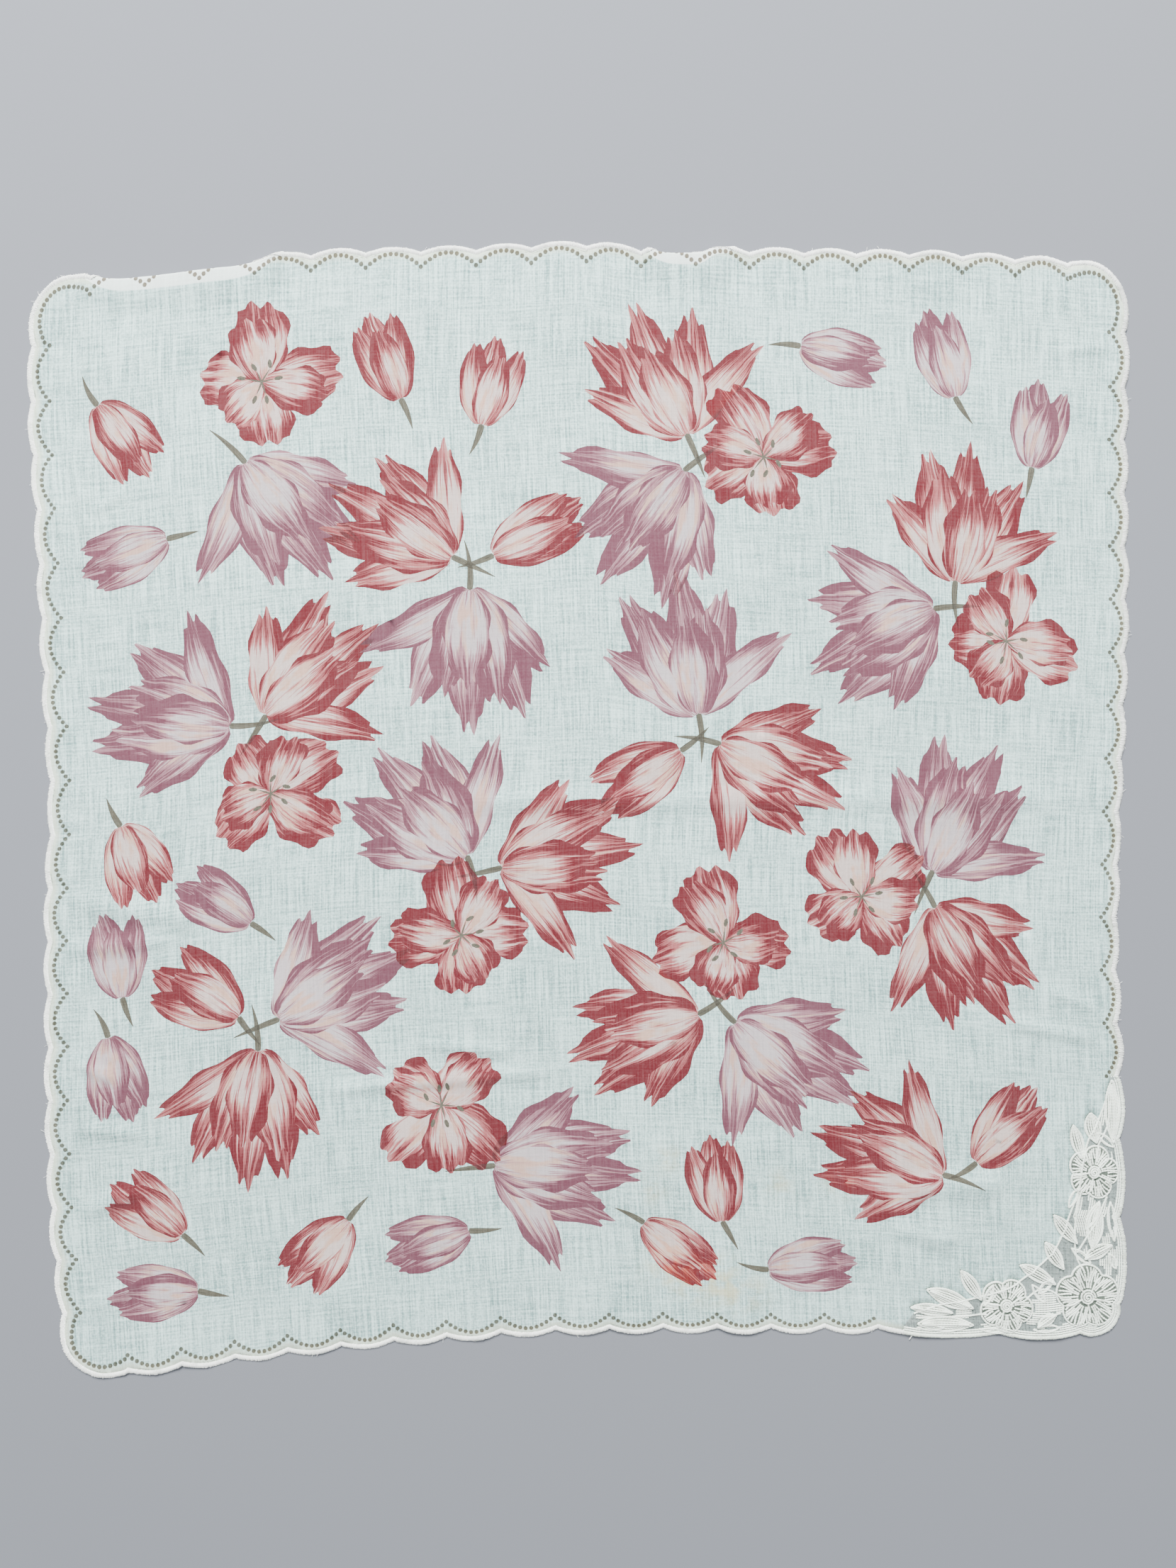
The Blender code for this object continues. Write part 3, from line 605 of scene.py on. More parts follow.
def clear_of_edges(petals):
    """Whether every petal of a flower lies inside the border and clear of the lace."""
    limit = HALF_SIDE - PRINT_MARGIN
    for petal in petals:
        for point in petal_outline(petal):
            a = HALF_SIDE - point.x
            b = point.y + HALF_SIDE
            by_lace = a < LACE_INNER_LINE[-1][0] + LACE_MARGIN
            if max(abs(point.x), abs(point.y)) > limit:
                return False
            if by_lace and b < between_rows(LACE_INNER_LINE, a) + LACE_MARGIN:
                return False
    return True


def cluster(flower, x, y, turn, with_bud, dice):
    """Three flowers whose stems meet: two half-open ones, and an open blossom or a bud."""
    def stemmed(number, place, ink, rows):
        heading = turn + place.turn
        root = flower_place(x, y, heading, place.away)
        return on_stem(flower + number, *root, heading, place.size, ink, rows, dice)

    first = stemmed(0, RED_IN_CLUSTER, RED, HALF_OPEN)
    second = stemmed(1, MAUVE_IN_CLUSTER, MAUVE, HALF_OPEN)
    if with_bud:
        return [second, first, stemmed(2, BUD_IN_CLUSTER, RED, BUD)]
    middle = flower_place(x, y, turn + BLOSSOM_IN_CLUSTER.turn, BLOSSOM_IN_CLUSTER.away)
    return [second, first, open_blossom(flower + 2, *middle, turn, BLOSSOM_IN_CLUSTER.size, RED, dice)]


def circle_round(petals):
    """The middle and the reach of a flower, over its petals but not its stem."""
    points = [point for petal in petals if petal.ink != TAUPE for point in petal_outline(petal)]
    middle = sum(points, Vector((0.0, 0.0))) / len(points)
    return middle, max((point - middle).length for point in points)


def printed_petals():
    """All the petals of the print: clusters in half-drop rows, then single flowers in the gaps."""
    dice = random.Random(PRINT_SEED)
    flowers = []
    for column in range(CLUSTER_COLUMNS):
        for row in CLUSTER_ROWS:
            x = (column - (CLUSTER_COLUMNS - 1) / 2.0) * CLUSTER_ACROSS + vary(dice, JITTER)
            y = (row + 0.25 - 0.5 * (column % 2)) * CLUSTER_ALONG + vary(dice, JITTER)
            turn = CLUSTER_TURN * (column * len(CLUSTER_ROWS) + row) + FIRST_CLUSTER_TURN
            with_bud = (column + row) % 3 == 2
            flowers += [petals for petals in cluster(3 * len(flowers), x, y, turn, with_bud, dice)
                        if clear_of_edges(petals)]
    circles = [circle_round(petals) for petals in flowers]
    for size, rows, tries in SINGLE_FLOWERS:
        for _ in range(tries):
            x = vary(dice, HALF_SIDE)
            y = vary(dice, HALF_SIDE)
            ink = MAUVE if dice.random() < MAUVE_SHARE else RED
            single = on_stem(3 * len(flowers), x, y, dice.uniform(0.0, 360.0), size, ink, rows, dice)
            middle, reach = circle_round(single)
            apart = all((middle - other).length > SINGLE_GAP * (reach + far) for other, far in circles)
            if apart and clear_of_edges(single):
                flowers.append(single)
                circles.append((middle, reach))
    return [petal for petals in flowers for petal in petals]


def petal_coordinates(petals, ids, x, y):
    """How far along, 0 to 1, and across, -1 to 1, each point lies in its petal, and its seed."""
    rows = np.array([(p.x, p.y, math.radians(p.heading), p.length, p.width, p.bend, p.seed,
                      *CUTS[p.cut][:3]) for p in petals])
    px, py, heading, length, width, bend, seed, fullness, narrowing, sharpness = rows[ids].T
    along = (x - px) * np.cos(heading) + (y - py) * np.sin(heading)
    across = (y - py) * np.cos(heading) - (x - px) * np.sin(heading)
    s = along / length
    held = np.clip(s, 0.02, 1.0)
    half = 0.5 * width * held ** fullness * (1.0 - narrowing * held ** sharpness)
    t = (across - bend * length * s * s) / half
    return np.stack((s, np.clip(t, -1.4, 1.4), seed), axis=1)


# The printed border
# A row of taupe dots follows every scallop and comes to a point between two of them.

DOT_RADIUS = 0.92
DOT_CELL = 1.12
DOT_SIDES = 8
DOTS_ON_SCALLOP = 11
DOTS_ON_CORNER = 19
DOT_INSETS = {0: 3.4, 1: 2.7, 2: 4.4, 3: 3.8, "corner": 4.0}
DOT_NOTCH = 5.2
FINE_SPACING = 0.4


def evenly_along(line, count):
    """Places at even distances along a line of points, its first point among them."""
    line = np.array([tuple(point) for point in line])
    lengths = np.hypot(*np.diff(line, axis=0).T)
    travelled = np.concatenate(([0.0], np.cumsum(lengths)))
    wanted = travelled[-1] * np.arange(count) / count
    return np.stack([np.interp(wanted, travelled, line[:, axis]) for axis in range(2)], axis=1)


def border_dots():
    """The middles of the border's dots, on a line that dips as deep at every notch."""
    dots = []
    for lobe in edge_lobes():
        line = inset_line(lobe_stations([lobe], FINE_SPACING, DOT_NOTCH), DOT_INSETS[lobe.side])
        dots.extend(evenly_along(line, DOTS_ON_CORNER if lobe.side == "corner" else DOTS_ON_SCALLOP))
    return dots


# The lawn cloth
# Fine cotton lawn, cool white, cut to the scallops and printed on one face. It is one closed sheet,
# triangulated flat round every petal and dot, then turned under, pulled and creased.

CLOTH_INSET = 0.5
CLOTH_GRID = 4.5
CREASE_STEP = 4.0
CREASE_OFFSETS = (-1.0, -0.65, -0.3, 0.0, 0.3, 0.65, 1.0)
FOLD_BEND_STEPS = 8
FOLD_LIFT_STEPS = 5
LACE_OVERLAP = 0.5
CUT_TOLERANCE = 1e-4
NO_DOT = 9.0
NO_PETAL = -1.0
MOST_TURNED = 5.35
LEAST_TURNED = 1.0
NOT_TURNED = -99.0
BORDER_REACH = 14.0

Stain = namedtuple("Stain", "x y radius")
STAINS = [Stain(*row) for row in (
    (26.0, -209.0, 9.0), (34.0, -214.0, 8.0), (43.0, -216.0, 9.0), (51.0, -213.0, 7.0),
    (54.0, -223.0, 6.0), (30.0, -160.0, 5.0), (22.0, -175.0, 5.0), (77.0, -171.0, 5.0),
    (104.0, -170.0, 6.0), (64.0, -221.0, 6.0),
)]


class FlatCut:
    """Points, lines and outlines on the pattern square, from which a flat piece is cut."""

    def __init__(self):
        self.points = []
        self.lines = []
        self.outlines = []

    def add_points(self, points):
        first = len(self.points)
        self.points.extend(Vector((float(x), float(y))) for x, y in points)
        return list(range(first, len(self.points)))

    def add_line(self, points):
        ids = self.add_points(points)
        self.lines.extend(zip(ids, ids[1:]))

    def add_outline(self, points):
        self.outlines.append(self.add_points(points))
        return len(self.outlines) - 1

    def triangles(self, keep):
        """Triangulate everything, and keep the triangles whose outlines pass the test."""
        result = delaunay_2d_cdt(self.points, self.lines, self.outlines, 0, CUT_TOLERANCE)
        points = np.array([tuple(point) for point in result[0]])
        kept = [(face, owner) for face, owner in zip(result[2], result[5]) if keep(set(owner))]
        faces = np.array([face for face, _ in kept])
        corners = points[faces]
        ab = corners[:, 1] - corners[:, 0]
        ac = corners[:, 2] - corners[:, 0]
        clockwise = ab[:, 0] * ac[:, 1] - ab[:, 1] * ac[:, 0] < 0.0
        faces[clockwise] = faces[clockwise][:, ::-1]
        return points, faces, [owner for _, owner in kept]


def closed_sheet(name, points, faces, low, high):
    """A closed mesh between two heights over a flat triangulation, laid, with its flat UV map.

    Its faces are the upper ones, the lower ones with their corners reversed, then the cut edge.
    """
    used, faces = np.unique(faces, return_inverse=True)
    faces = faces.reshape(-1, 3)
    points = points[used]
    high = np.broadcast_to(high if np.isscalar(high) else high[used], len(points))
    count = len(points)
    directed = np.concatenate([faces[:, [0, 1]], faces[:, [1, 2]], faces[:, [2, 0]]])
    keys = set(map(tuple, directed))
    rim = np.array([(a, b) for a, b in map(tuple, directed) if (b, a) not in keys])
    near, far = rim.T
    walls = np.concatenate((np.stack((far, near, near + count), axis=1),
                            np.stack((far, near + count, far + count), axis=1)))
    all_faces = np.concatenate((faces, faces[:, ::-1] + count, walls))
    upper = lay(np.column_stack((points, high)))
    lower = lay(np.column_stack((points, np.full(count, low))))
    mesh = bpy.data.meshes.new(name)
    mesh.from_pydata(np.concatenate((upper, lower)).tolist(), [], all_faces.tolist())
    flat = np.concatenate((points, points))[all_faces.reshape(-1)] * MM
    mesh.uv_layers.new(name="flat").data.foreach_set("uv", flat.astype(np.float32).reshape(-1))
    mesh.shade_smooth()
    return mesh, used


def put_in_scene(name, data):
    """An object of its own for a mesh, a light or a camera, at the origin."""
    item = bpy.data.objects.new(name, data)
    bpy.context.collection.objects.link(item)
    return item


def paint_corners(mesh, name, kind, face_values, blank):
    """Store values for the upper faces' corners on both faces of a closed sheet."""
    count = len(face_values)
    attribute = mesh.attributes.new(name, kind, "CORNER")
    wide = face_values.reshape(count, 3, -1)
    corners = np.full((len(mesh.loops) // 3, 3, wide.shape[2]), blank, dtype=np.float32)
    corners[:count] = wide
    corners[count:2 * count] = wide[:, ::-1]
    attribute.data.foreach_set("vector" if kind == "FLOAT_VECTOR" else "value", corners.reshape(-1))


def crease_rows(cut):
    """Rows of points that let the cloth rise softly along each crease."""
    for crease in CREASES:
        run = np.array((crease.x1 - crease.x0, crease.y1 - crease.y0))
        length = np.hypot(*run)
        steps = max(3, round(length / CREASE_STEP))
        shares = np.arange(steps + 1) / steps
        for offset in CREASE_OFFSETS:
            x = crease.x0 + run[0] * shares - run[1] / length * crease.width * offset
            y = crease.y0 + run[1] * shares + run[0] / length * crease.width * offset
            cut.add_points(zip(*unpulled(x, y)))


def fold_rows(cut):
    """Rows of points round the turned edge's bend and where its lift dies away."""
    wrapped = [FOLD_RADIUS * math.pi * step / FOLD_BEND_STEPS for step in range(FOLD_BEND_STEPS + 1)]
    fading = FOLD_LIFT_END - FOLD_LIFT_FLAT
    lifted = [-FOLD_LIFT_FLAT - fading * step / FOLD_LIFT_STEPS for step in range(FOLD_LIFT_STEPS + 1)]
    for fold in FOLDS:
        xs = np.linspace(fold.rows[0][0], fold.rows[-1][0], fold.steps + 1)
        for past in lifted + wrapped:
            cut.add_line(zip(xs, HALF_SIDE - turned_at(xs) + past))


def cloth_outline():
    """The cut edge of the cloth, closed behind the lace corner."""
    behind_lace = [from_corner(a, b) for a, b in reversed(PATH_UNDER_LACE)]
    return inset_line(edging_stations(), CLOTH_INSET) + behind_lace


def cloth_grid():
    count = int(HALF_SIDE / CLOTH_GRID)
    places = np.arange(-count, count + 1) * CLOTH_GRID
    return [(x + 0.5 * CLOTH_GRID * (row % 2), y) for row, y in enumerate(places) for x in places]


def cut_cloth(petals, dots):
    """Triangulate the flat cloth round its petals, dots, creases and turned edge."""
    cut = FlatCut()
    cut.add_outline(cloth_outline())
    cut.add_outline(lace_ground(-LACE_OVERLAP))
    for blossom in BLOSSOMS:
        cut.add_outline(blossom_ring(blossom, 1.0, -LACE_OVERLAP))
    for leaf in LEAVES:
        cut.add_outline(leaf_ring(leaf, -LACE_OVERLAP))
    first_petal = len(cut.outlines)
    for petal in petals:
        cut.add_outline(petal_outline(petal))
    first_dot = len(cut.outlines)
    ring = [2.0 * math.pi * (side + 0.5) / DOT_SIDES for side in range(DOT_SIDES)]
    for x, y in dots:
        cut.add_outline([(x + DOT_CELL * math.cos(a), y + DOT_CELL * math.sin(a)) for a in ring])
    crease_rows(cut)
    fold_rows(cut)
    cut.add_points(cloth_grid())
    lace = set(range(1, first_petal))
    points, faces, owners = cut.triangles(lambda own: 0 in own and not own & lace)
    return points, faces, owners, first_petal, first_dot


def topmost(owners, petals, first_petal, first_dot):
    """For each triangle, the petal that shows, another flower's petal under it, and its dot."""
    chosen = np.full((len(owners), 3), -1)
    for index, owner in enumerate(owners):
        over = sorted(own - first_petal for own in owner if first_petal <= own < first_dot)
        spots = [own - first_dot for own in owner if own >= first_dot]
        if over:
            others = [own for own in over if petals[own].flower != petals[over[-1]].flower]
            chosen[index, 0] = over[-1]
            chosen[index, 1] = others[-1] if others else -1
        if spots:
            chosen[index, 2] = spots[0]
    return chosen


def store_petals(mesh, name, petals, ids, corners):
    """Store each corner's place in its petal, and its dye."""
    ids = np.repeat(ids, 3)
    inside = ids >= 0
    places = np.zeros((len(ids), 3))
    places[inside] = petal_coordinates(petals, ids[inside], *corners[inside].T)
    inks = np.full(len(ids), NO_PETAL)
    inks[inside] = np.array([petal.ink for petal in petals])[ids[inside]]
    paint_corners(mesh, name + "_petal", "FLOAT_VECTOR", places.reshape(-1, 9), 0.0)
    paint_corners(mesh, name + "_ink", "FLOAT", inks.reshape(-1, 3), NO_PETAL)


def store_dots(mesh, dots, ids, corners):
    """Store each corner's place from the middle of its dot, and the dot's number."""
    ids = np.repeat(ids, 3)
    on_dot = ids >= 0
    places = np.full((len(ids), 3), NO_DOT)
    places[on_dot, :2] = corners[on_dot] - np.array(dots)[ids[on_dot]]
    places[on_dot, 2] = ids[on_dot]
    paint_corners(mesh, "dot", "FLOAT_VECTOR", places.reshape(-1, 9), NO_DOT)


def store_border(mesh, points):
    """Store how far in from the outer edge each point lies, how far past the fold, and its stain."""
    edge = inset_line(lobe_stations(edge_lobes() + lace_lobes(), FINE_SPACING), 0.0)
    tree = kdtree.KDTree(len(edge))
    for index, point in enumerate(edge):
        tree.insert((point.x, point.y, 0.0), index)
    tree.balance()
    x, y = points.T
    inward = np.full(len(points), BORDER_REACH)
    for index in np.flatnonzero(np.maximum(abs(x), abs(y)) > HALF_SIDE - BORDER_REACH):
        inward[index] = tree.find((x[index], y[index], 0.0))[2]
    turned = turned_at(x)
    reach = MOST_TURNED / np.maximum(turned, LEAST_TURNED)
    past = np.where(turned > LEAST_TURNED, (y - HALF_SIDE + turned) * reach, NOT_TURNED)
    stain = np.zeros(len(points))
    for spot in STAINS:
        stain += np.exp(-((x - spot.x) ** 2 + (y - spot.y) ** 2) / spot.radius ** 2)
    both_faces = np.tile(np.stack((inward, past, stain), axis=1), (2, 1)).astype(np.float32)
    border = mesh.attributes.new("border", "FLOAT_VECTOR", "POINT")
    border.data.foreach_set("vector", both_faces.reshape(-1))


def mark_printed(mesh, count):
    """Store 1 at the corners of the upper faces, which are printed, and 0 at the others."""
    values = np.zeros(len(mesh.loops), dtype=np.float32)
    values[:3 * count] = 1.0
    mesh.attributes.new("printed", "FLOAT", "CORNER").data.foreach_set("value", values)


def build_cloth():
    petals = printed_petals()
    dots = border_dots()
    points, faces, owners, first_petal, first_dot = cut_cloth(petals, dots)
    mesh, used = closed_sheet("cloth", points, faces, SHEET_LOW, SHEET_LOW + SHEET_THICK)
    corners = points[faces.reshape(-1)]
    upper, under, spots = topmost(owners, petals, first_petal, first_dot).T
    store_petals(mesh, "upper", petals, upper, corners)
    store_petals(mesh, "under", petals, under, corners)
    store_dots(mesh, dots, spots, corners)
    mark_printed(mesh, len(faces))
    store_border(mesh, points[used])
    return put_in_scene("lawn_cloth", mesh)


cloth = build_cloth()


# The lawn's finish
# Thin cotton threads of uneven weight, streaked with slubs up and down the cloth and less across it.
# The dyes soak into it, so they darken the weave instead of covering it.

# Noise that adds up to slubs: how fine it is across and up the cloth, and how much of it there is
Slubs = namedtuple("Slubs", "across up detail roughness share")
LAWN_SLUBS = (
    Slubs(1300.0, 42.0, 2.0, 0.65, 0.56),
    Slubs(50.0, 1200.0, 2.0, 0.65, 0.36),
    Slubs(1000.0, 1000.0, 3.0, 0.55, 0.36),
    Slubs(28.0, 28.0, 3.0, 0.55, 0.12),
)
SLUB_RANGE = (0.49, 0.89)
SLUB_MEAN = 0.50
SLUB_UNDER_DYE = 0.80
THREAD_PITCH = 0.0003
THREAD_RELIEF = 0.25

# How a petal is brushed: a deeper dye towards its sides, tip, root and rim, then strokes and hairs
Deeper = namedtuple("Deeper", "measure start full share")
PETAL_SHADING = (
    Deeper("off middle", 0.40, 1.05, 0.58),
    Deeper("along", 0.48, 1.00, 0.58),
    Deeper("along", 0.32, 0.0, 0.34),
    Deeper("from midrib", 0.90, 1.0, 0.30),
)
Brush = namedtuple("Brush", "across along shift detail roughness share")
STROKES = Brush(5.2, 1.25, 5.1, 3.0, 0.62, 2.0)
HAIRS = Brush(21.0, 2.4, 1.0, 2.0, 0.55, 1.25)
MID_DYE = (0.08, 0.38)
DEEP_DYE = (0.46, 0.64)
TAUPE_HAIRS = (0.40, 0.62)

Patches = namedtuple("Patches", "scale detail low high")
PEACH_PATCHES = Patches(2.3, 2.0, 0.46, 0.62)
STAIN_PATCHES = Patches(160.0, 3.0, 0.35, 0.65)
NEEDLE_STRETCHES = Patches(90.0, 2.0, 0.50, 0.64)
NEEDLE_PRICKS = Patches(1500.0, 1.0, 0.36, 0.56)

DYE_CLOTH = (180, 206, 200)
COTTON_LIGHT = (200, 228, 223)
COTTON_DARK = (106, 136, 134)
COTTON_CREAM = (204, 212, 190)
COTTON_DOUBLE = (228, 238, 233)
RED_DYES = {"pale": (208, 182, 174), "mid": (165, 88, 88), "deep": (102, 14, 26)}
MAUVE_DYES = {"pale": (190, 176, 176), "mid": (154, 108, 116), "deep": (106, 54, 68)}
TAUPE_DYES = {"pale": (108, 101, 84), "deep": (60, 54, 43)}
PEACH_DYE = (220, 146, 116)
DOT_DYE = (72, 69, 52)
STAIN_TINT = (188, 182, 142)
# Painted shade for the inside of the needle holes
NEEDLE_SHADE = (96, 102, 102)
UNDYED = (1.0, 1.0, 1.0, 1.0)

CREAM_STRIP = (5.6, 2.2)
NEEDLE_INSET = 2.35
NEEDLE_HOLE = (0.30, 0.10)
DOUBLED_CLOTH = (-4.6, -4.0)
ANY_INK = (-0.5, -0.4)
TAUPE_INK = (1.4, 1.6)
DOT_RIM = (DOT_RADIUS + 0.10, DOT_RADIUS - 0.12)
UNDER_PETAL_SHOWS = 0.55
BACK_SHOWS = 0.5
SLUB_KEEPS_DYE_OFF = 0.05

# How far each tint covers what is under it, where it is strongest
PEACH_SHARE = 0.6
CREAM_SHARE = 0.75
DOUBLED_SHARE = 0.8
STAIN_SHARE = 0.55
DOT_SHARE = 0.95
NEEDLE_SHARE = 0.7

# How fast a petal's seed changes it, and by how much at most
PETAL_LEAN = (2.6, 0.30)
PETAL_TONE = (4.1, 0.10)

DOT_GRAIN = 1700.0
DOT_RAGGED = 0.4
SPECULAR = 0.25

# The strength of a surface's relief, and its height in metres
LAWN_BUMP = (0.5, 0.0001)


def linear(colour):
    """A colour given as screen values from 0 to 255, as light."""
    shares = [value / 255.0 for value in colour]
    light = [s / 12.92 if s <= 0.04045 else ((s + 0.055) / 1.055) ** 2.4 for s in shares]
    return (*light, 1.0)


def as_dye(colour):
    """What a dye lets through, if it gives this colour on the white lawn."""
    ground = linear(DYE_CLOTH)
    return (*[min(part / base, 1.3) for part, base in zip(linear(colour)[:3], ground)], 1.0)


def add_node(tree, kind, inputs=None, **settings):
    """Add a shader or geometry node, with its settings, and set or join its inputs."""
    node = tree.nodes.new(kind)
    for name, value in settings.items():
        setattr(node, name, value)
    for name, value in (inputs or {}).items():
        if isinstance(value, bpy.types.NodeSocket):
            tree.links.new(value, node.inputs[name])
        else:
            node.inputs[name].default_value = value
    return node


def maths(tree, operation, *values):
    return add_node(tree, "ShaderNodeMath", dict(enumerate(values)), operation=operation).outputs[0]


def times(tree, first, second):
    return maths(tree, "MULTIPLY", first, second)


def times_plus(tree, first, second, added):
    return maths(tree, "MULTIPLY_ADD", first, second, added)


def minus(tree, first, second):
    return maths(tree, "SUBTRACT", first, second)


def ease(tree, value, low, high):
    """Ease from 0 at one value to 1 at another."""
    inputs = {"Value": value, "From Min": low, "From Max": high}
    return add_node(tree, "ShaderNodeMapRange", inputs, interpolation_type="SMOOTHSTEP").outputs[0]


def blend(tree, factor, first, second, kind="MIX"):
    inputs = {0: factor, 6: first, 7: second}
    return add_node(tree, "ShaderNodeMix", inputs, data_type="RGBA", blend_type=kind).outputs[2]


def split(tree, vector):
    return add_node(tree, "ShaderNodeSeparateXYZ", {0: vector}).outputs


def joined(tree, x, y, z=0.0):
    return add_node(tree, "ShaderNodeCombineXYZ", {0: x, 1: y, 2: z}).outputs[0]


def grain(tree, vector, scale, detail=2.0, roughness=0.55):
    inputs = {"Vector": vector, "Scale": scale, "Detail": detail, "Roughness": roughness}
    return add_node(tree, "ShaderNodeTexNoise", inputs).outputs[0]


def patchy(tree, vector, patches):
    return ease(tree, grain(tree, vector, patches.scale, patches.detail), patches.low, patches.high)


def new_group(name, sockets_in, sockets_out, kind="ShaderNodeTree"):
    """A node group with named inputs and outputs, and its two end nodes."""
    group = bpy.data.node_groups.new(name, kind)
    for way, sockets in (("INPUT", sockets_in), ("OUTPUT", sockets_out)):
        for socket, socket_type in sockets.items():
            group.interface.new_socket(socket, in_out=way, socket_type=socket_type)
    return group, group.nodes.new("NodeGroupInput").outputs, group.nodes.new("NodeGroupOutput").inputs


def lawn_weave_group():
    """Slubs and threads of a plain weave, from a place on the flat cloth in metres."""
    group, given, out = new_group(
        "lawn weave",
        {"Flat": "NodeSocketVector"},
        {"Slub": "NodeSocketFloat", "Height": "NodeSocketFloat"},
    )
    x, y, _ = split(group, given["Flat"])
    slub = 0.0
    for slubs in LAWN_SLUBS:
        place = joined(group, times(group, x, slubs.across), times(group, y, slubs.up))
        cloudy = grain(group, place, 1.0, slubs.detail, slubs.roughness)
        slub = times_plus(group, cloudy, slubs.share, slub)
    turns = 2.0 * math.pi / THREAD_PITCH
    over = maths(group, "SINE", times(group, x, turns))
    under = maths(group, "SINE", times(group, y, turns))
    group.links.new(ease(group, slub, *SLUB_RANGE), out["Slub"])
    group.links.new(times_plus(group, times(group, over, under), THREAD_RELIEF, slub), out["Height"])
    return group


def by_petal(group, seed, pace, most):
    """A number that differs from petal to petal."""
    return times(group, maths(group, "SINE", times(group, seed, pace)), most)


def brushed(group, brush, along, across, seed):
    x = times_plus(group, across, brush.across, times(group, seed, brush.shift))
    place = joined(group, x, times(group, along, brush.along), seed)
    return grain(group, place, 1.0, brush.detail, brush.roughness)


def dye_depth(group, along, across, seed, strokes, hairs):
    """How much dye the brush left at a place in a petal."""
    leaning = maths(group, "ADD", across, by_petal(group, seed, *PETAL_LEAN))
    measures = {
        "along": along,
        "off middle": maths(group, "ABSOLUTE", leaning),
        "from midrib": maths(group, "ABSOLUTE", across),
    }
    depth = by_petal(group, seed, *PETAL_TONE)
    for deeper in PETAL_SHADING:
        there = ease(group, measures[deeper.measure], deeper.start, deeper.full)
        depth = times_plus(group, there, deeper.share, depth)
    for streaks, brush in ((strokes, STROKES), (hairs, HAIRS)):
        depth = times_plus(group, minus(group, streaks, 0.5), brush.share, depth)
    return depth


def brushed_petal_group():
    """A petal's dye: pale in the middle, with brush strokes running in from its edges and its root."""
    group, given, out = new_group(
        "brushed petal",
        {"Petal": "NodeSocketVector", "Ink": "NodeSocketFloat"},
        {"Dye": "NodeSocketColor"},
    )
    along, across, seed = split(group, given["Petal"])
    strokes, hairs = [brushed(group, brush, along, across, seed) for brush in (STROKES, HAIRS)]
    depth = dye_depth(group, along, across, seed, strokes, hairs)
    mauve = maths(group, "MINIMUM", given["Ink"], 1.0)
    pale, mid, deep = [blend(group, mauve, as_dye(RED_DYES[tone]), as_dye(MAUVE_DYES[tone]))
                       for tone in ("pale", "mid", "deep")]
    peachy = times(group, patchy(group, given["Petal"], PEACH_PATCHES), PEACH_SHARE)
    dye = blend(group, peachy, pale, as_dye(PEACH_DYE))
    dye = blend(group, ease(group, depth, *MID_DYE), dye, mid)
    dye = blend(group, ease(group, depth, *DEEP_DYE), dye, deep)
    fine = ease(group, hairs, *TAUPE_HAIRS)
    taupe = blend(group, fine, as_dye(TAUPE_DYES["deep"]), as_dye(TAUPE_DYES["pale"]))
    dye = blend(group, ease(group, given["Ink"], *TAUPE_INK), dye, taupe)
    dye = blend(group, ease(group, given["Ink"], *ANY_INK), UNDYED, dye)
    group.links.new(dye, out["Dye"])
    return group


def grouped(tree, group, **inputs):
    """Place a node group, with its inputs joined by name."""
    return add_node(tree, "ShaderNodeGroup", inputs, node_tree=group).outputs


def attribute(tree, name, output="Vector"):
    return add_node(tree, "ShaderNodeAttribute", attribute_name=name).outputs[output]


def flat_place(tree):
    return add_node(tree, "ShaderNodeUVMap", uv_map="flat").outputs[0]


def new_material(name, roughness, sheen=0.0):
    """A cloth material, its node tree and its shader."""
    material = bpy.data.materials.new(name)
    material.use_nodes = True
    shader = material.node_tree.nodes["Principled BSDF"]
    shader.inputs["Roughness"].default_value = roughness
    shader.inputs["Sheen Weight"].default_value = sheen
    shader.inputs["Specular IOR Level"].default_value = SPECULAR
    return material, material.node_tree, shader


def join_surface(tree, shader, colour, height, strength, distance):
    """Give a shader its colour, and its relief from a height."""
    inputs = {"Height": height, "Strength": strength, "Distance": distance}
    bump = add_node(tree, "ShaderNodeBump", inputs)
    tree.links.new(colour, shader.inputs["Base Color"])
    tree.links.new(bump.outputs[0], shader.inputs["Normal"])


weave_group = lawn_weave_group()
petal_group = brushed_petal_group()


def bare_lawn(tree, flat, weave, inward, past, stain):
    """The cotton under the print: its slubs, cream strip, doubled edge and tea stains."""
    dyed = ease(tree, attribute(tree, "upper_ink", "Fac"), *ANY_INK)
    flattened = times(tree, dyed, SLUB_UNDER_DYE)
    slub = times_plus(tree, minus(tree, SLUB_MEAN, weave["Slub"]), flattened, weave["Slub"])
    colour = blend(tree, slub, linear(COTTON_DARK), linear(COTTON_LIGHT))
    creamy = times(tree, ease(tree, inward, *CREAM_STRIP), CREAM_SHARE)
    colour = blend(tree, creamy, colour, linear(COTTON_CREAM))
    doubled = times(tree, ease(tree, past, *DOUBLED_CLOTH), DOUBLED_SHARE)
    colour = blend(tree, doubled, colour, linear(COTTON_DOUBLE))
    stained = times(tree, times(tree, stain, patchy(tree, flat, STAIN_PATCHES)), STAIN_SHARE)
    return blend(tree, stained, colour, linear(STAIN_TINT))


def needle_holes(tree, flat, inward):
    """A line of pricked holes beside the edging, which comes and goes, their darkness painted shade."""
    off_line = maths(tree, "ABSOLUTE", minus(tree, inward, NEEDLE_INSET))
    stretches = times(tree, ease(tree, off_line, *NEEDLE_HOLE), patchy(tree, flat, NEEDLE_STRETCHES))
    return times(tree, stretches, patchy(tree, flat, NEEDLE_PRICKS))


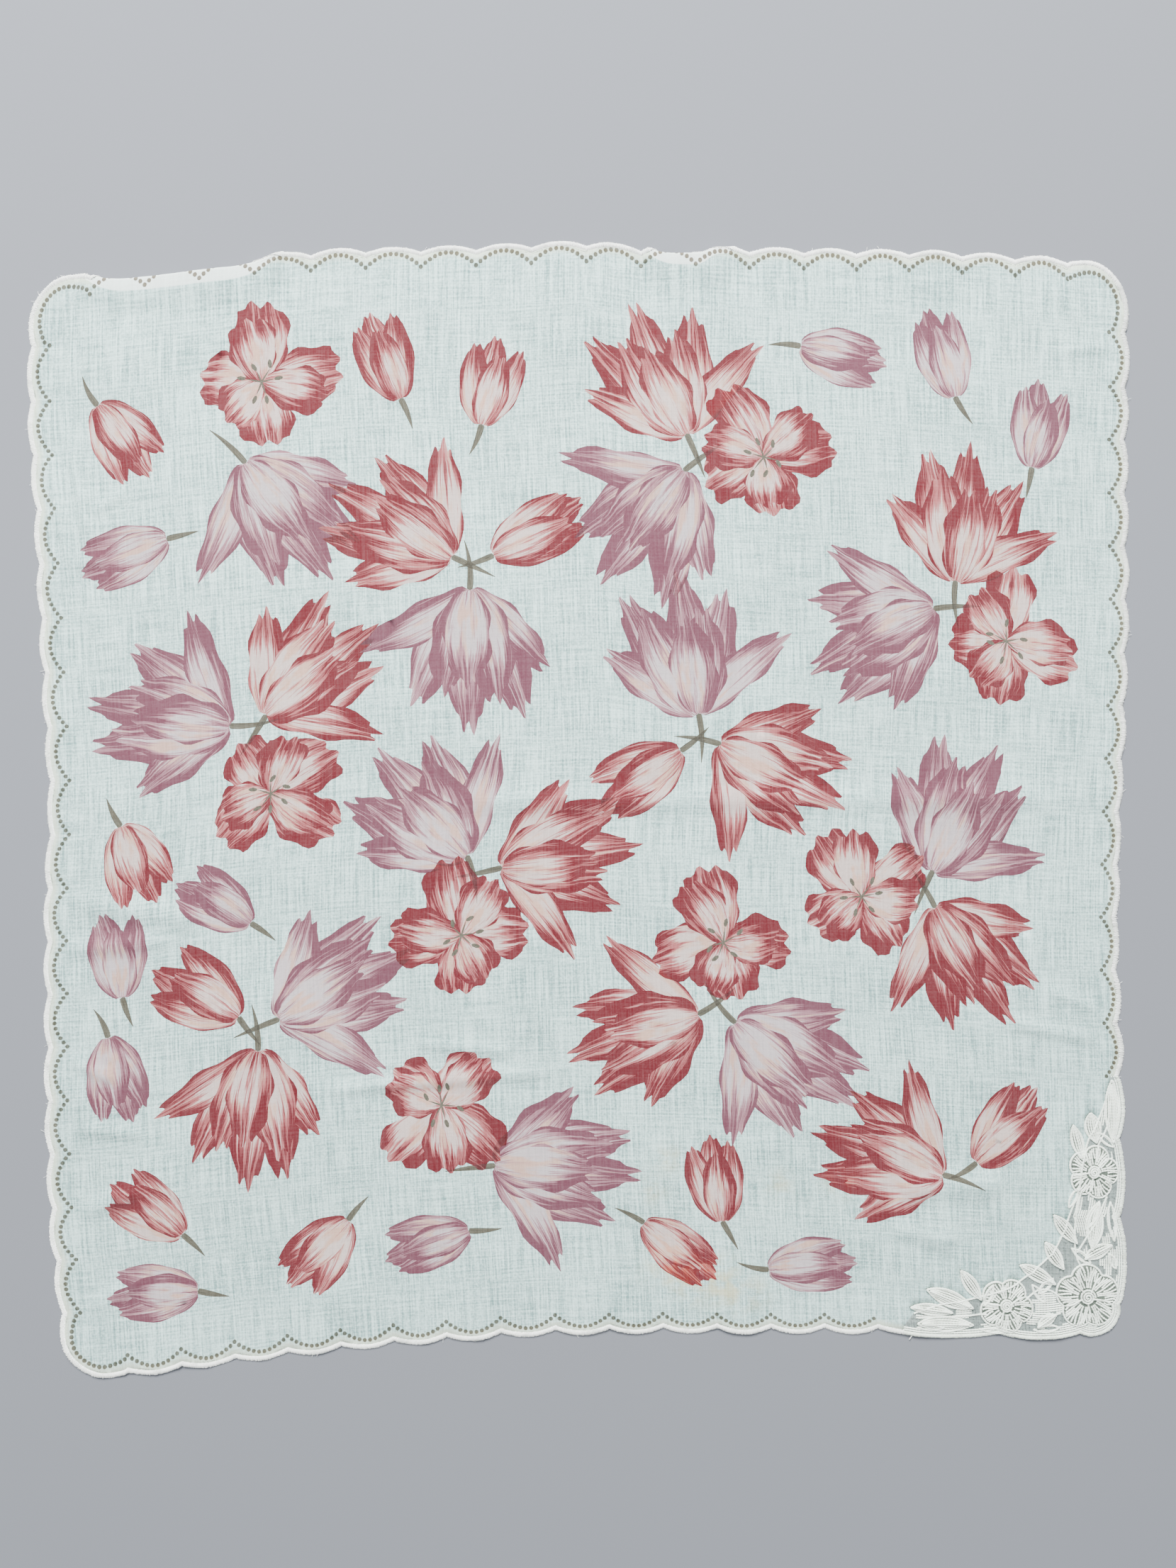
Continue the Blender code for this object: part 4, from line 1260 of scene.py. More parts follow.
def petal_dye(tree, layer):
    ink = attribute(tree, layer + "_ink", "Fac")
    return grouped(tree, petal_group, Petal=attribute(tree, layer + "_petal"), Ink=ink)["Dye"]


def on_border_dot(tree, flat):
    """Where a dot of the border is printed, with a slightly rough rim."""
    x, y, _ = split(tree, attribute(tree, "dot"))
    away = maths(tree, "SQRT", times_plus(tree, x, x, times(tree, y, y)))
    away = times_plus(tree, minus(tree, grain(tree, flat, DOT_GRAIN), 0.5), DOT_RAGGED, away)
    return times(tree, ease(tree, away, *DOT_RIM), DOT_SHARE)


def lawn_material():
    material, tree, shader = new_material("printed lawn", roughness=0.85, sheen=0.10)
    flat = flat_place(tree)
    weave = grouped(tree, weave_group, Flat=flat)
    inward, past, stain = split(tree, attribute(tree, "border"))
    colour = bare_lawn(tree, flat, weave, inward, past, stain)
    dye = blend(tree, UNDER_PETAL_SHOWS, petal_dye(tree, "upper"), petal_dye(tree, "under"), "MULTIPLY")
    dye = blend(tree, on_border_dot(tree, flat), dye, as_dye(DOT_DYE))
    through = times_plus(tree, attribute(tree, "printed", "Fac"), 1.0 - BACK_SHOWS, BACK_SHOWS)
    soaked = times(tree, through, times_plus(tree, weave["Slub"], -SLUB_KEEPS_DYE_OFF, 1.0))
    colour = blend(tree, soaked, colour, blend(tree, 1.0, colour, dye, "MULTIPLY"))
    pricked = times(tree, needle_holes(tree, flat, inward), NEEDLE_SHARE)
    # Painted shade where the needle holes are
    colour = blend(tree, pricked, colour, linear(NEEDLE_SHADE))
    join_surface(tree, shader, colour, weave["Height"], *LAWN_BUMP)
    return material


cloth.data.materials.append(lawn_material())
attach(cloth, "root")
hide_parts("cloth")


# The edging
# White cotton thread, oversewn closely across a rolled edge all round the scallops. The stitches
# lie side by side over a padded band, a little uneven at its outer side, with a few loose whiskers.

EDGING_WIDTH = 2.0
EDGING_MIDDLE = 1.0
EDGING_SIDE = 0.35
EDGING_CROWN = 0.80
EDGING_SECTION = (
    (0.15, 0.05), (0.15, EDGING_SIDE), (0.6, 0.62), (1.1, 0.66), (1.6, 0.58), (1.9, 0.45), (1.9, 0.05),
)
# The thread's lit colour, and its painted shade in the hollows
THREAD_WHITE = (252, 254, 249)
THREAD_SHADE = (214, 218, 212)

# What the trees that sew take: sizes in metres, with Ragged and Lumps as shares
SATIN_SIZES = ("Spacing", "Width", "Crown", "Thickness", "Ragged")
STITCH_SPACING = 0.00036
STITCH_THICK = 0.00021
STITCH_RAGGED = 0.16
STITCH_SLANT = 0.16
STITCH_WIDTHS = (0.9, 1.15)
STITCH_HEIGHTS = (0.9, 1.1)
STITCH_STEPS = 4
STITCH_SIDES = 3
THREAD_SIZES = ("Step", "Radius", "Lumps", "Lump Pitch", "Wander")
WHISKER_THREAD = (0.0004, 0.00006, 0.0, 0.001, 0.0)
LOOSE_THREAD = (0.0005, 0.00017, 0.15, 0.0011, 0.0002)
THREAD_SIDES = 5
WANDER_SCALE = 700.0
FIBRE_SCALE = 5200.0
FIBRE_SHARE = 0.45
# The noise that places painted shade in the thread's hollows, and the tones from shaded to lit thread
HOLLOW_SCALE = 240.0
HOLLOW_TONES = (0.34, 0.52)
SPUN_BUMP = (0.45, 0.00008)
PROBE_ACROSS = 0.4
PROBE_UP = 0.3

WHISKERS = 90
WHISKER_SEED = 5
WHISKER_SIDES = 220.0
WHISKERS_ELSEWHERE = 0.25
WHISKER_ROOT = 0.5
WHISKER_LEAN = 1.3
WHISKER_BEND = 0.8
WHISKER_LENGTHS = (0.9, 2.4)
WHISKER_HEIGHTS = (0.35, 0.6)
WHISKER_DROOP = 0.6
WHISKER_STEPS = 4
LOOSE_THREAD_PATH = (
    (140.5, -230.0, 0.5), (139.9, -232.2, 0.5), (139.5, -234.6, 0.4), (138.6, -236.8, 0.25),
    (136.4, -238.6, 0.2), (133.9, -239.6, 0.2), (132.6, -241.4, 0.2),
)


def geometry_group(name, sizes):
    """A Geometry Nodes tree with named inputs, and its two end nodes."""
    sockets = {"Geometry": "NodeSocketGeometry"}
    sockets.update({size: "NodeSocketFloat" for size in sizes})
    sockets.update({"Seed": "NodeSocketInt", "Material": "NodeSocketMaterial"})
    tree, given, out = new_group(name, sockets, {"Geometry": "NodeSocketGeometry"}, "GeometryNodeTree")
    tree.is_modifier = True
    return tree, given, out


def named_vector(tree, name):
    node = add_node(tree, "GeometryNodeInputNamedAttribute", {"Name": name}, data_type="FLOAT_VECTOR")
    return node.outputs["Attribute"]


def even_path(tree, given, step):
    """The given edges as curves, with points at an even spacing."""
    path = add_node(tree, "GeometryNodeMeshToCurve", {"Mesh": given["Geometry"]}).outputs[0]
    inputs = {"Curve": path, "Length": step}
    return add_node(tree, "GeometryNodeResampleCurve", inputs, mode="LENGTH").outputs[0]


def tube_along(tree, path, sides, radius, scale=1.0):
    """A closed tube of a few sides along a curve."""
    ring = add_node(tree, "GeometryNodeCurvePrimitiveCircle", {"Resolution": sides, "Radius": radius})
    inputs = {"Curve": path, "Profile Curve": ring.outputs[0], "Scale": scale, "Fill Caps": True}
    return add_node(tree, "GeometryNodeCurveToMesh", inputs).outputs[0]


def finish_tree(tree, geometry, given, out):
    real = add_node(tree, "GeometryNodeRealizeInstances", {0: geometry}).outputs[0]
    smooth_faces = add_node(tree, "GeometryNodeSetShadeSmooth", {"Geometry": real}).outputs[0]
    inputs = {"Geometry": smooth_faces, "Material": given["Material"]}
    tree.links.new(add_node(tree, "GeometryNodeSetMaterial", inputs).outputs[0], out[0])


def satin_tree():
    """Bowed stitches side by side along a path, each lying across it, over a padded band."""
    tree, given, out = geometry_group("satin stitches", SATIN_SIZES)
    path = even_path(tree, given, given["Spacing"])
    half = times(tree, given["Width"], 0.5)
    bow = add_node(tree, "GeometryNodeCurveQuadraticBezier", {
        "Resolution": STITCH_STEPS,
        "Start": joined(tree, 0.0, times(tree, half, -1.0)),
        "Middle": joined(tree, 0.0, 0.0, times(tree, given["Crown"], 2.0)),
        "End": joined(tree, 0.0, half),
    })
    stitch = tube_along(tree, bow.outputs[0], STITCH_SIDES, given["Thickness"])
    turn = add_node(tree, "FunctionNodeAxesToRotation",
                    {0: named_vector(tree, "up"), 1: named_vector(tree, "across")},
                    primary_axis="Z", secondary_axis="Y")
    least = joined(tree, STITCH_WIDTHS[0], minus(tree, 1.0, given["Ragged"]), STITCH_HEIGHTS[0])
    most = joined(tree, STITCH_WIDTHS[1], maths(tree, "ADD", given["Ragged"], 1.0), STITCH_HEIGHTS[1])
    size = add_node(tree, "FunctionNodeRandomValue", {0: least, 1: most, "Seed": given["Seed"]},
                    data_type="FLOAT_VECTOR")
    slant = add_node(tree, "FunctionNodeRandomValue",
                     {2: -STITCH_SLANT, 3: STITCH_SLANT, "Seed": given["Seed"]})
    slanted = add_node(tree, "FunctionNodeRotateRotation",
                       {0: turn.outputs[0], 1: joined(tree, 0.0, 0.0, slant.outputs[1])},
                       rotation_space="LOCAL")
    stitches = add_node(tree, "GeometryNodeInstanceOnPoints", {
        "Points": path, "Instance": stitch, "Rotation": slanted.outputs[0], "Scale": size.outputs[0],
    })
    finish_tree(tree, stitches.outputs[0], given, out)
    return tree


def thread_tree():
    """A thread along each path, a little lumpy and wandering, with closed ends."""
    tree, given, out = geometry_group("sewing thread", THREAD_SIZES)
    path = even_path(tree, given, given["Step"])
    place = add_node(tree, "GeometryNodeInputPosition").outputs[0]
    drift = add_node(tree, "ShaderNodeTexNoise", {"Vector": place, "Scale": WANDER_SCALE, "Detail": 1.0})
    drift = add_node(tree, "ShaderNodeVectorMath", {0: drift.outputs[1], 1: (0.5, 0.5, 0.5)},
                     operation="SUBTRACT")
    drift = add_node(tree, "ShaderNodeVectorMath", {0: drift.outputs[0], "Scale": given["Wander"]},
                     operation="SCALE")
    moved = add_node(tree, "GeometryNodeSetPosition", {"Geometry": path, "Offset": drift.outputs[0]})
    along = add_node(tree, "GeometryNodeSplineParameter").outputs["Length"]
    turns = maths(tree, "DIVIDE", times(tree, along, 2.0 * math.pi), given["Lump Pitch"])
    lump = times_plus(tree, maths(tree, "SINE", turns), given["Lumps"], 1.0)
    tube = tube_along(tree, moved.outputs[0], THREAD_SIDES, given["Radius"], lump)
    finish_tree(tree, tube, given, out)
    return tree


def path_mesh(name, lines, closed=False):
    """Loose edges along lines of flat points, laid, which a tree turns into stitches or thread."""
    verts = []
    edges = []
    for line in lines:
        first = len(verts)
        verts.extend(tuple(point) for point in line)
        ids = list(range(first, len(verts)))
        edges.extend(zip(ids, ids[1:]))
        if closed:
            edges.append((ids[-1], ids[0]))
    mesh = bpy.data.meshes.new(name)
    mesh.from_pydata(lay(verts).tolist(), edges, [])
    return mesh


def store_directions(mesh, name, start, end):
    """Store a unit way from one laid place to another for each point of a path."""
    ways = lay(end) - lay(start)
    ways /= np.linalg.norm(ways, axis=1)[:, None]
    data = mesh.attributes.new(name, "FLOAT_VECTOR", "POINT").data
    data.foreach_set("vector", ways.astype(np.float32).reshape(-1))


def made_with(tree, name, mesh, values, material, seed):
    """Run a tree on a path, and keep its result as a plain mesh."""
    maker = put_in_scene(name + "_maker", mesh)
    modifier = maker.modifiers.new("made", "NODES")
    modifier.node_group = tree
    sockets = {item.name: item.identifier for item in tree.interface.items_tree if item.in_out == "INPUT"}
    for socket, value in {**values, "Seed": seed, "Material": material}.items():
        modifier[sockets[socket]] = value
    evaluated = maker.evaluated_get(bpy.context.evaluated_depsgraph_get())
    made = put_in_scene(name, bpy.data.meshes.new_from_object(evaluated))
    made.data.name = name
    bpy.data.objects.remove(maker, do_unlink=True)
    return made


def thread_material(name, light, shade, roughness):
    """Spun cotton thread: fine fibres across it, with painted shade, a little grey, in the hollows."""
    material, tree, shader = new_material(name, roughness, sheen=0.25)
    place = add_node(tree, "ShaderNodeTexCoord").outputs["Object"]
    fibres = grain(tree, place, FIBRE_SCALE)
    hollows = times(tree, grain(tree, place, HOLLOW_SCALE, 3.0), 1.0 - FIBRE_SHARE)
    mixed = times_plus(tree, fibres, FIBRE_SHARE, hollows)
    # Painted shade: the thread goes from its shaded colour in the hollows to its lit colour
    colour = blend(tree, ease(tree, mixed, *HOLLOW_TONES), linear(shade), linear(light))
    join_surface(tree, shader, colour, fibres, *SPUN_BUMP)
    return material


def padded_band(name, stations, section, material):
    """A closed band along the edge, one ring of the section's inset and height at each station."""
    verts = []
    faces = []
    for point, inward, dip in stations:
        for inset, height in section:
            verts.append((*(point + inward * (inset + dip)), height))
    count = len(section)
    for ring in range(len(stations) - 1):
        for i in range(count):
            j = (i + 1) % count
            here, there = ring * count, (ring + 1) * count
            faces.append((here + i, here + j, there + j, there + i))
    faces.append(tuple(range(count - 1, -1, -1)))
    faces.append(tuple(range(len(verts) - count, len(verts))))
    mesh = bpy.data.meshes.new(name)
    mesh.from_pydata(lay(verts).tolist(), [], faces)
    mesh.shade_smooth()
    mesh.materials.append(material)
    return put_in_scene(name, mesh)


def at_height(line, height):
    return [(*point, height) for point in line]


def satin_stitches(name, stations, middle, side, crown, width, material, seed=0):
    """Stitches along the edge, bowed from their height at its sides up to its crown."""
    line = inset_line(stations, middle)
    mesh = path_mesh(name + "_path", [at_height(line, side)])
    outer = at_height(inset_line(stations, middle - PROBE_ACROSS), side)
    inner = at_height(inset_line(stations, middle + PROBE_ACROSS), side)
    store_directions(mesh, "across", outer, inner)
    store_directions(mesh, "up", at_height(line, side), at_height(line, side + PROBE_UP))
    sizes = (STITCH_SPACING, width * MM, (crown - side) * MM, STITCH_THICK, STITCH_RAGGED)
    return made_with(satin, name, mesh, dict(zip(SATIN_SIZES, sizes)), material, seed)


def sewn_thread(name, lines, sizes, material, seed=0, closed=False):
    mesh = path_mesh(name + "_path", lines, closed)
    return made_with(thread, name, mesh, dict(zip(THREAD_SIZES, sizes)), material, seed)


def whisker_lines():
    """Short loose fibres that stand out from the edging, more of them on its left and right sides."""
    dice = random.Random(WHISKER_SEED)
    stations = [item for item in edging_stations()
                if abs(item[0].x) > WHISKER_SIDES or dice.random() < WHISKERS_ELSEWHERE]
    lines = []
    for point, inward, dip in dice.sample(stations, WHISKERS):
        root = point + inward * (WHISKER_ROOT + dip)
        heading = Matrix.Rotation(vary(dice, WHISKER_LEAN), 2) @ -inward
        bend = Vector((-heading.y, heading.x)) * vary(dice, WHISKER_BEND)
        length = dice.uniform(*WHISKER_LENGTHS)
        high = dice.uniform(*WHISKER_HEIGHTS)
        line = []
        for step in range(WHISKER_STEPS + 1):
            share = step / WHISKER_STEPS
            flat = root + heading * length * share + bend * share ** 2
            line.append((*flat, high * (1.0 - WHISKER_DROOP * share)))
        lines.append(line)
    return lines


satin = satin_tree()
thread = thread_tree()
edging_thread = thread_material("edging thread", THREAD_WHITE, THREAD_SHADE, roughness=0.6)
edging_band = padded_band("edging_band", edging_stations(), EDGING_SECTION, edging_thread)
edging_stitches = satin_stitches("edging_stitches", edging_stations(), EDGING_MIDDLE, EDGING_SIDE,
                                 EDGING_CROWN, EDGING_WIDTH, edging_thread)
whiskers = sewn_thread("edging_whiskers", whisker_lines(), WHISKER_THREAD, edging_thread)
loose_thread = sewn_thread("loose_thread", [LOOSE_THREAD_PATH], LOOSE_THREAD, edging_thread)
for piece in (edging_band, edging_stitches, whiskers, loose_thread):
    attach(piece, "root")
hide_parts("edging")


# The lace corner
# Machine embroidery on organdy, which is opaque here: rows of heavy cream thread fill the petals and
# leaves, cords outline them, and satin stitches like the edging's close the outer lobes.

LACE_LOW = 0.05
LACE_TOP = 0.5
LACE_RELIEF = 0.75
LACE_EYE_RELIEF = 0.4
BLOSSOM_BEVEL = 1.6
BLOSSOM_EYE = 0.24
BLOSSOM_RINGS = ((1.0, 0.0), (1.0, -0.8), (1.0, -BLOSSOM_BEVEL), (0.6, 0.0), (BLOSSOM_EYE, 0.0))
LACE_GRID = 2.2
LACE_REACH = 120.0
LACE_EDGE_CLEARANCE = 1.0
CORD_IN = 0.45
CORD_HEIGHT = 0.12
VEIN_HEIGHT = 0.14
ROW_HEIGHT = 0.02
MIDRIB_STEPS = 12
DIVIDER_END = 0.97
DIVIDER_BOW = 0.10
DIVIDER_STEPS = 8
COIL_STEPS = 60
COIL_STEPS_A_TURN = 20
COIL_SHRINK = 64
ROW_PITCH = 1.05
ROW_INSET = 1.3
ROW_SPACING = 0.8
ROW_STARTS = (0.52, 0.30)
ROW_BOW = 0.05
ROW_CROWDING = 0.66
LEAF_ROW_START = 0.06
LEAF_ROW_STAGGER = 0.03
LEAF_ROW_STEPS = 14
LEAF_RIM = 0.5
GROUND_ROWS = 20
GROUND_ROW_INSET = 2.4
UNBROKEN_ROWS = 2
GROUND_FILL = -0.10
GROUND_PATCH = 0.10
GROUND_SEED = 4.0
GROUND_CLEARANCE = 0.8
FLAT_GROUND = 0.02
SPRIG_CLEARANCE = 2.0
LACE_EDGE_WIDTH = 1.7
LACE_EDGE_MIDDLE = 0.85
LACE_EDGE_CROWN = 0.91
LACE_EDGE_SECTION = (
    (0.1, 0.05), (0.1, 0.35), (0.45, 0.72), (0.9, 0.86), (1.35, 0.72), (1.6, 0.5), (1.6, 0.05),
)

# The lace threads, in the order of THREAD_SIZES
CORD_THREAD = (0.00045, 0.00047, 0.14, 0.0013, 0.00012)
VEIN_THREAD = (0.00045, 0.000423, 0.16, 0.0013, 0.00012)
ROW_THREAD = (0.00045, 0.00037, 0.22, 0.0013, 0.00012)
# The lace thread's lit colour, and its painted shade in the hollows
THREAD_CREAM = (243, 252, 240)
THREAD_CREAM_SHADE = (204, 211, 198)
ORGANDY_LIGHT = (146, 158, 154)
ORGANDY_DARK = (92, 103, 100)
# Painted shade: how much darker the organdy is under the embroidery, where shade falls between the
# threads
SHADE_UNDER_THREAD = (176, 180, 168)
# Needle holes in the organdy: real holes, their darkness painted shade
FLECK_SHADE = (52, 58, 58)
NEEDLE_FLECKS = Patches(900.0, 2.0, 0.60, 0.66)
FLECK_SHARE = 0.7
ORGANDY_BUMP = (0.6, 0.0001)

SPRIGS = [Leaf(*row) for row in (
    (6.0, 47.0, 7.5, 66.0, 5.0), (12.5, 66.0, 20.0, 52.0, 4.5), (22.5, 72.0, 28.0, 62.0, 4.0),
    (27.0, 44.0, 17.0, 36.5, 4.5), (5.0, 90.0, 14.0, 97.0, 4.0), (36.0, 30.0, 44.0, 22.0, 4.5),
    (47.0, 4.8, 33.0, 6.0, 4.5), (74.0, 4.8, 58.0, 3.6, 3.0), (47.0, 27.0, 40.0, 17.5, 4.5),
    (66.0, 27.0, 71.0, 16.0, 4.0), (104.0, 4.6, 90.0, 5.0, 3.5), (5.0, 34.0, 8.5, 42.0, 4.0),
)]
STEMS = (
    ((8.0, 111.0), (8.5, 100.0), (13.0, 91.0), (14.0, 84.0)),
    ((21.5, 70.0), (24.0, 60.0), (25.0, 50.0), (24.5, 40.0), (21.0, 33.0)),
    ((9.0, 68.0), (14.0, 58.0), (20.0, 48.0), (24.0, 42.0)),
    ((33.0, 21.0), (38.0, 24.0), (44.0, 24.0), (50.0, 20.0)),
    ((70.0, 12.5), (80.0, 11.0), (92.0, 10.0), (103.0, 9.0)),
    ((33.0, 13.0), (40.0, 11.5), (47.0, 12.0)),
)


def lace_relief(point):
    """How far the embroidery stands over the lace's ground at a point of the pattern square."""
    raised = 0.0
    for blossom in BLOSSOMS:
        away = point - from_corner(blossom.a, blossom.b)
        inside = blossom_reach(blossom, math.atan2(away.y, away.x)) - away.length
        eye = LACE_EYE_RELIEF * smooth(2.0 - 2.0 * away.length / (BLOSSOM_EYE * blossom.radius))
        raised = max(raised, LACE_RELIEF * smooth(inside / BLOSSOM_BEVEL) + eye)
    for leaf in LEAVES:
        root, along, across, length = leaf_frame(leaf)
        t = (point - root).dot(along) / length
        if 0.0 < t < 1.0:
            share = abs((point - root).dot(across)) / leaf_half_width(leaf, t)
            raised = max(raised, LACE_RELIEF * smooth(1.0 - share))
    return float(raised)


def lace_height(point):
    return LACE_TOP + lace_relief(point)


def midrib(leaf, steps):
    """Points down the middle of a leaf, without its two ends."""
    root, along, _, length = leaf_frame(leaf)
    return [root + along * length * step / steps for step in range(1, steps)]


def cut_lace():
    """Triangulate the lace's ground with its blossoms and leaves, some of which reach past it."""
    cut = FlatCut()
    cut.add_outline(lace_ground(0.0))
    for blossom in BLOSSOMS:
        for share, grow in BLOSSOM_RINGS:
            cut.add_outline(blossom_ring(blossom, share, grow))
    for leaf in LEAVES:
        cut.add_outline(leaf_ring(leaf, 0.0))
        cut.add_line(midrib(leaf, LEAF_STEPS))
    steps = int(LACE_REACH / LACE_GRID)
    grid = [from_corner(a * LACE_GRID, b * LACE_GRID) for a in range(steps) for b in range(steps)]
    limit = HALF_SIDE - LACE_EDGE_CLEARANCE
    cut.add_points([(x, y) for x, y in grid if x < limit and y > -limit])
    return cut.triangles(bool)


def build_lace():
    points, faces, owners = cut_lace()
    high = np.array([lace_height(Vector(point)) for point in points])
    mesh, _ = closed_sheet("lace_corner", points, faces, LACE_LOW, high)
    # Where the embroidery covers the organdy, which takes painted shade there
    shade_under_work = np.array([1.0 if any(own) else 0.0 for own in owners])
    paint_corners(mesh, "shade_under_work", "FLOAT", np.repeat(shade_under_work, 3).reshape(-1, 3), 1.0)
    return put_in_scene("lace_sheet", mesh)


def organdy_material():
    """Grey-white organdy, flecked with needle holes whose darkness is painted shade, and darker under the
    embroidery by painted shade between its threads.
    """
    material, tree, shader = new_material("lace organdy", roughness=0.8, sheen=0.1)
    flat = flat_place(tree)
    weave = grouped(tree, weave_group, Flat=flat)
    colour = blend(tree, weave["Slub"], linear(ORGANDY_DARK), linear(ORGANDY_LIGHT))
    # Painted shade where the needle holes are
    flecks = times(tree, patchy(tree, flat, NEEDLE_FLECKS), FLECK_SHARE)
    colour = blend(tree, flecks, colour, linear(FLECK_SHADE))
    # Painted shade under the embroidery, between its threads
    colour = blend(tree, attribute(tree, "shade_under_work", "Fac"), colour, linear(SHADE_UNDER_THREAD), "MULTIPLY")
    join_surface(tree, shader, colour, weave["Height"], *ORGANDY_BUMP)
    return material


def raised_line(line, above):
    """A line of flat points, lifted to lie just above the embroidery."""
    return [(point.x, point.y, lace_height(point) + above) for point in line]


def smooth_route(places, spacing=1.0):
    """A soft curve through places given from the corner, with points at about this spacing."""
    stops = [from_corner(a, b) for a, b in places]
    ends = [2.0 * stops[0] - stops[1]] + stops + [2.0 * stops[-1] - stops[-2]]
    line = []
    for p0, p1, p2, p3 in zip(ends, ends[1:], ends[2:], ends[3:]):
        steps = max(2, round((p2 - p1).length / spacing))
        for step in range(steps):
            t = step / steps
            line.append(0.5 * (2.0 * p1 + (p2 - p0) * t + (2.0 * p0 - 5.0 * p1 + 4.0 * p2 - p3) * t ** 2
                               + (3.0 * p1 - p0 - 3.0 * p2 + p3) * t ** 3))
    return line + [stops[-1]]


def divider(blossom, index):
    """The cord between two petals of a blossom, from its eye out to the notch."""
    angle = math.radians(blossom.turn) + math.pi * (2 * index + 1) / PETALS
    centre = from_corner(blossom.a, blossom.b)
    reach = blossom_reach(blossom, angle)
    line = []
    for step in range(DIVIDER_STEPS + 1):
        t = step / DIVIDER_STEPS
        share = BLOSSOM_EYE + (DIVIDER_END - BLOSSOM_EYE) * t
        line.append(at_angle(centre, reach * share, angle + DIVIDER_BOW * math.sin(math.pi * t)))
    return line


def eye_coil(blossom):
    """A round of thread wound inwards over a blossom's eye."""
    centre = from_corner(blossom.a, blossom.b)
    outer = BLOSSOM_EYE * blossom.radius
    return [at_angle(centre, outer * (1.0 - step / COIL_SHRINK), 2.0 * math.pi * step / COIL_STEPS_A_TURN)
            for step in range(COIL_STEPS)]


def blossom_rows(blossom):
    """Rows of thread that run out over a blossom's petals, every second one starting further out."""
    centre = from_corner(blossom.a, blossom.b)
    count = round(2.0 * math.pi * ROW_CROWDING * blossom.radius / ROW_PITCH)
    rows = []
    for index in range(count):
        angle = 2.0 * math.pi * index / count
        start = blossom.radius * ROW_STARTS[index % 2]
        run = blossom_reach(blossom, angle) - ROW_INSET - start
        steps = max(3, round(run / ROW_SPACING))
        row = []
        for step in range(steps + 1):
            bowed = angle + ROW_BOW * math.sin(3.0 * step / steps + index)
            row.append(at_angle(centre, start + run * step / steps, bowed))
        rows.append(row)
    return rows


def leaf_rows(leaf):
    """Rows of thread that run along a leaf, each side of its midrib."""
    root, along, across, length = leaf_frame(leaf)
    count = int((leaf.width / 2.0 - LEAF_RIM) / ROW_PITCH)
    rows = []
    for side in (-1.0, 1.0):
        for index in range(1, count + 1):
            share = side * index / (count + 1.0)
            first = LEAF_ROW_START + LEAF_ROW_STAGGER * index
            row = []
            for step in range(LEAF_ROW_STEPS + 1):
                t = first + (1.0 - 2.0 * first) * step / LEAF_ROW_STEPS
                row.append(root + along * t * length + across * share * leaf_half_width(leaf, t))
            rows.append(row)
    return rows


def ground_is_filled(point):
    """Whether the lace's ground shows here, in a patch of it that rows of thread cover."""
    a = HALF_SIDE - point.x
    b = point.y + HALF_SIDE
    below = between_rows(LACE_INNER_LINE, a) - GROUND_CLEARANCE
    inside = a < LACE_INNER_LINE[-1][0] and b < below
    by_sprig = any((point - from_corner(sprig.a, sprig.b)).length < SPRIG_CLEARANCE for sprig in SPRIGS)
    filled = noise.noise(Vector((a * GROUND_PATCH, b * GROUND_PATCH, GROUND_SEED))) > GROUND_FILL
    return inside and filled and not by_sprig and lace_relief(point) < FLAT_GROUND


def ground_rows():
    """Rows of thread on the ground that follow the outer lobes, two of them without a break."""
    rows = []
    for index in range(GROUND_ROWS):
        run = []
        for point in inset_line(lace_stations(), GROUND_ROW_INSET + ROW_PITCH * index):
            if index < UNBROKEN_ROWS or ground_is_filled(point):
                run.append(point)
                continue
            rows.append(run)
            run = []
        rows.append(run)
    return [run for run in rows if len(run) > 2]


def outline_lines():
    """The heavy cords, just inside the rim of every blossom, leaf and sprig."""
    lines = [blossom_ring(blossom, 1.0, -CORD_IN) for blossom in BLOSSOMS]
    return lines + [leaf_ring(leaf, -CORD_IN) for leaf in LEAVES + SPRIGS]


def vein_lines():
    """The lighter cords: between petals, on eyes and midribs, and along stems and the inner edge."""
    lines = [divider(blossom, index) for blossom in BLOSSOMS for index in range(PETALS)]
    lines += [eye_coil(blossom) for blossom in BLOSSOMS]
    lines += [midrib(leaf, MIDRIB_STEPS) for leaf in LEAVES]
    return lines + [smooth_route(places) for places in (*STEMS, LACE_INNER_LINE)]


def filling_lines():
    """The rows of thread that fill the blossoms, the leaves and the ground."""
    lines = [row for blossom in BLOSSOMS for row in blossom_rows(blossom)]
    lines += [row for leaf in LEAVES + SPRIGS for row in leaf_rows(leaf)]
    return lines + ground_rows()


def thread_on_lace(name, lines, above, sizes, seed, closed=False):
    routes = [raised_line(line, above) for line in lines]
    return sewn_thread(name, routes, sizes, lace_thread, seed, closed)


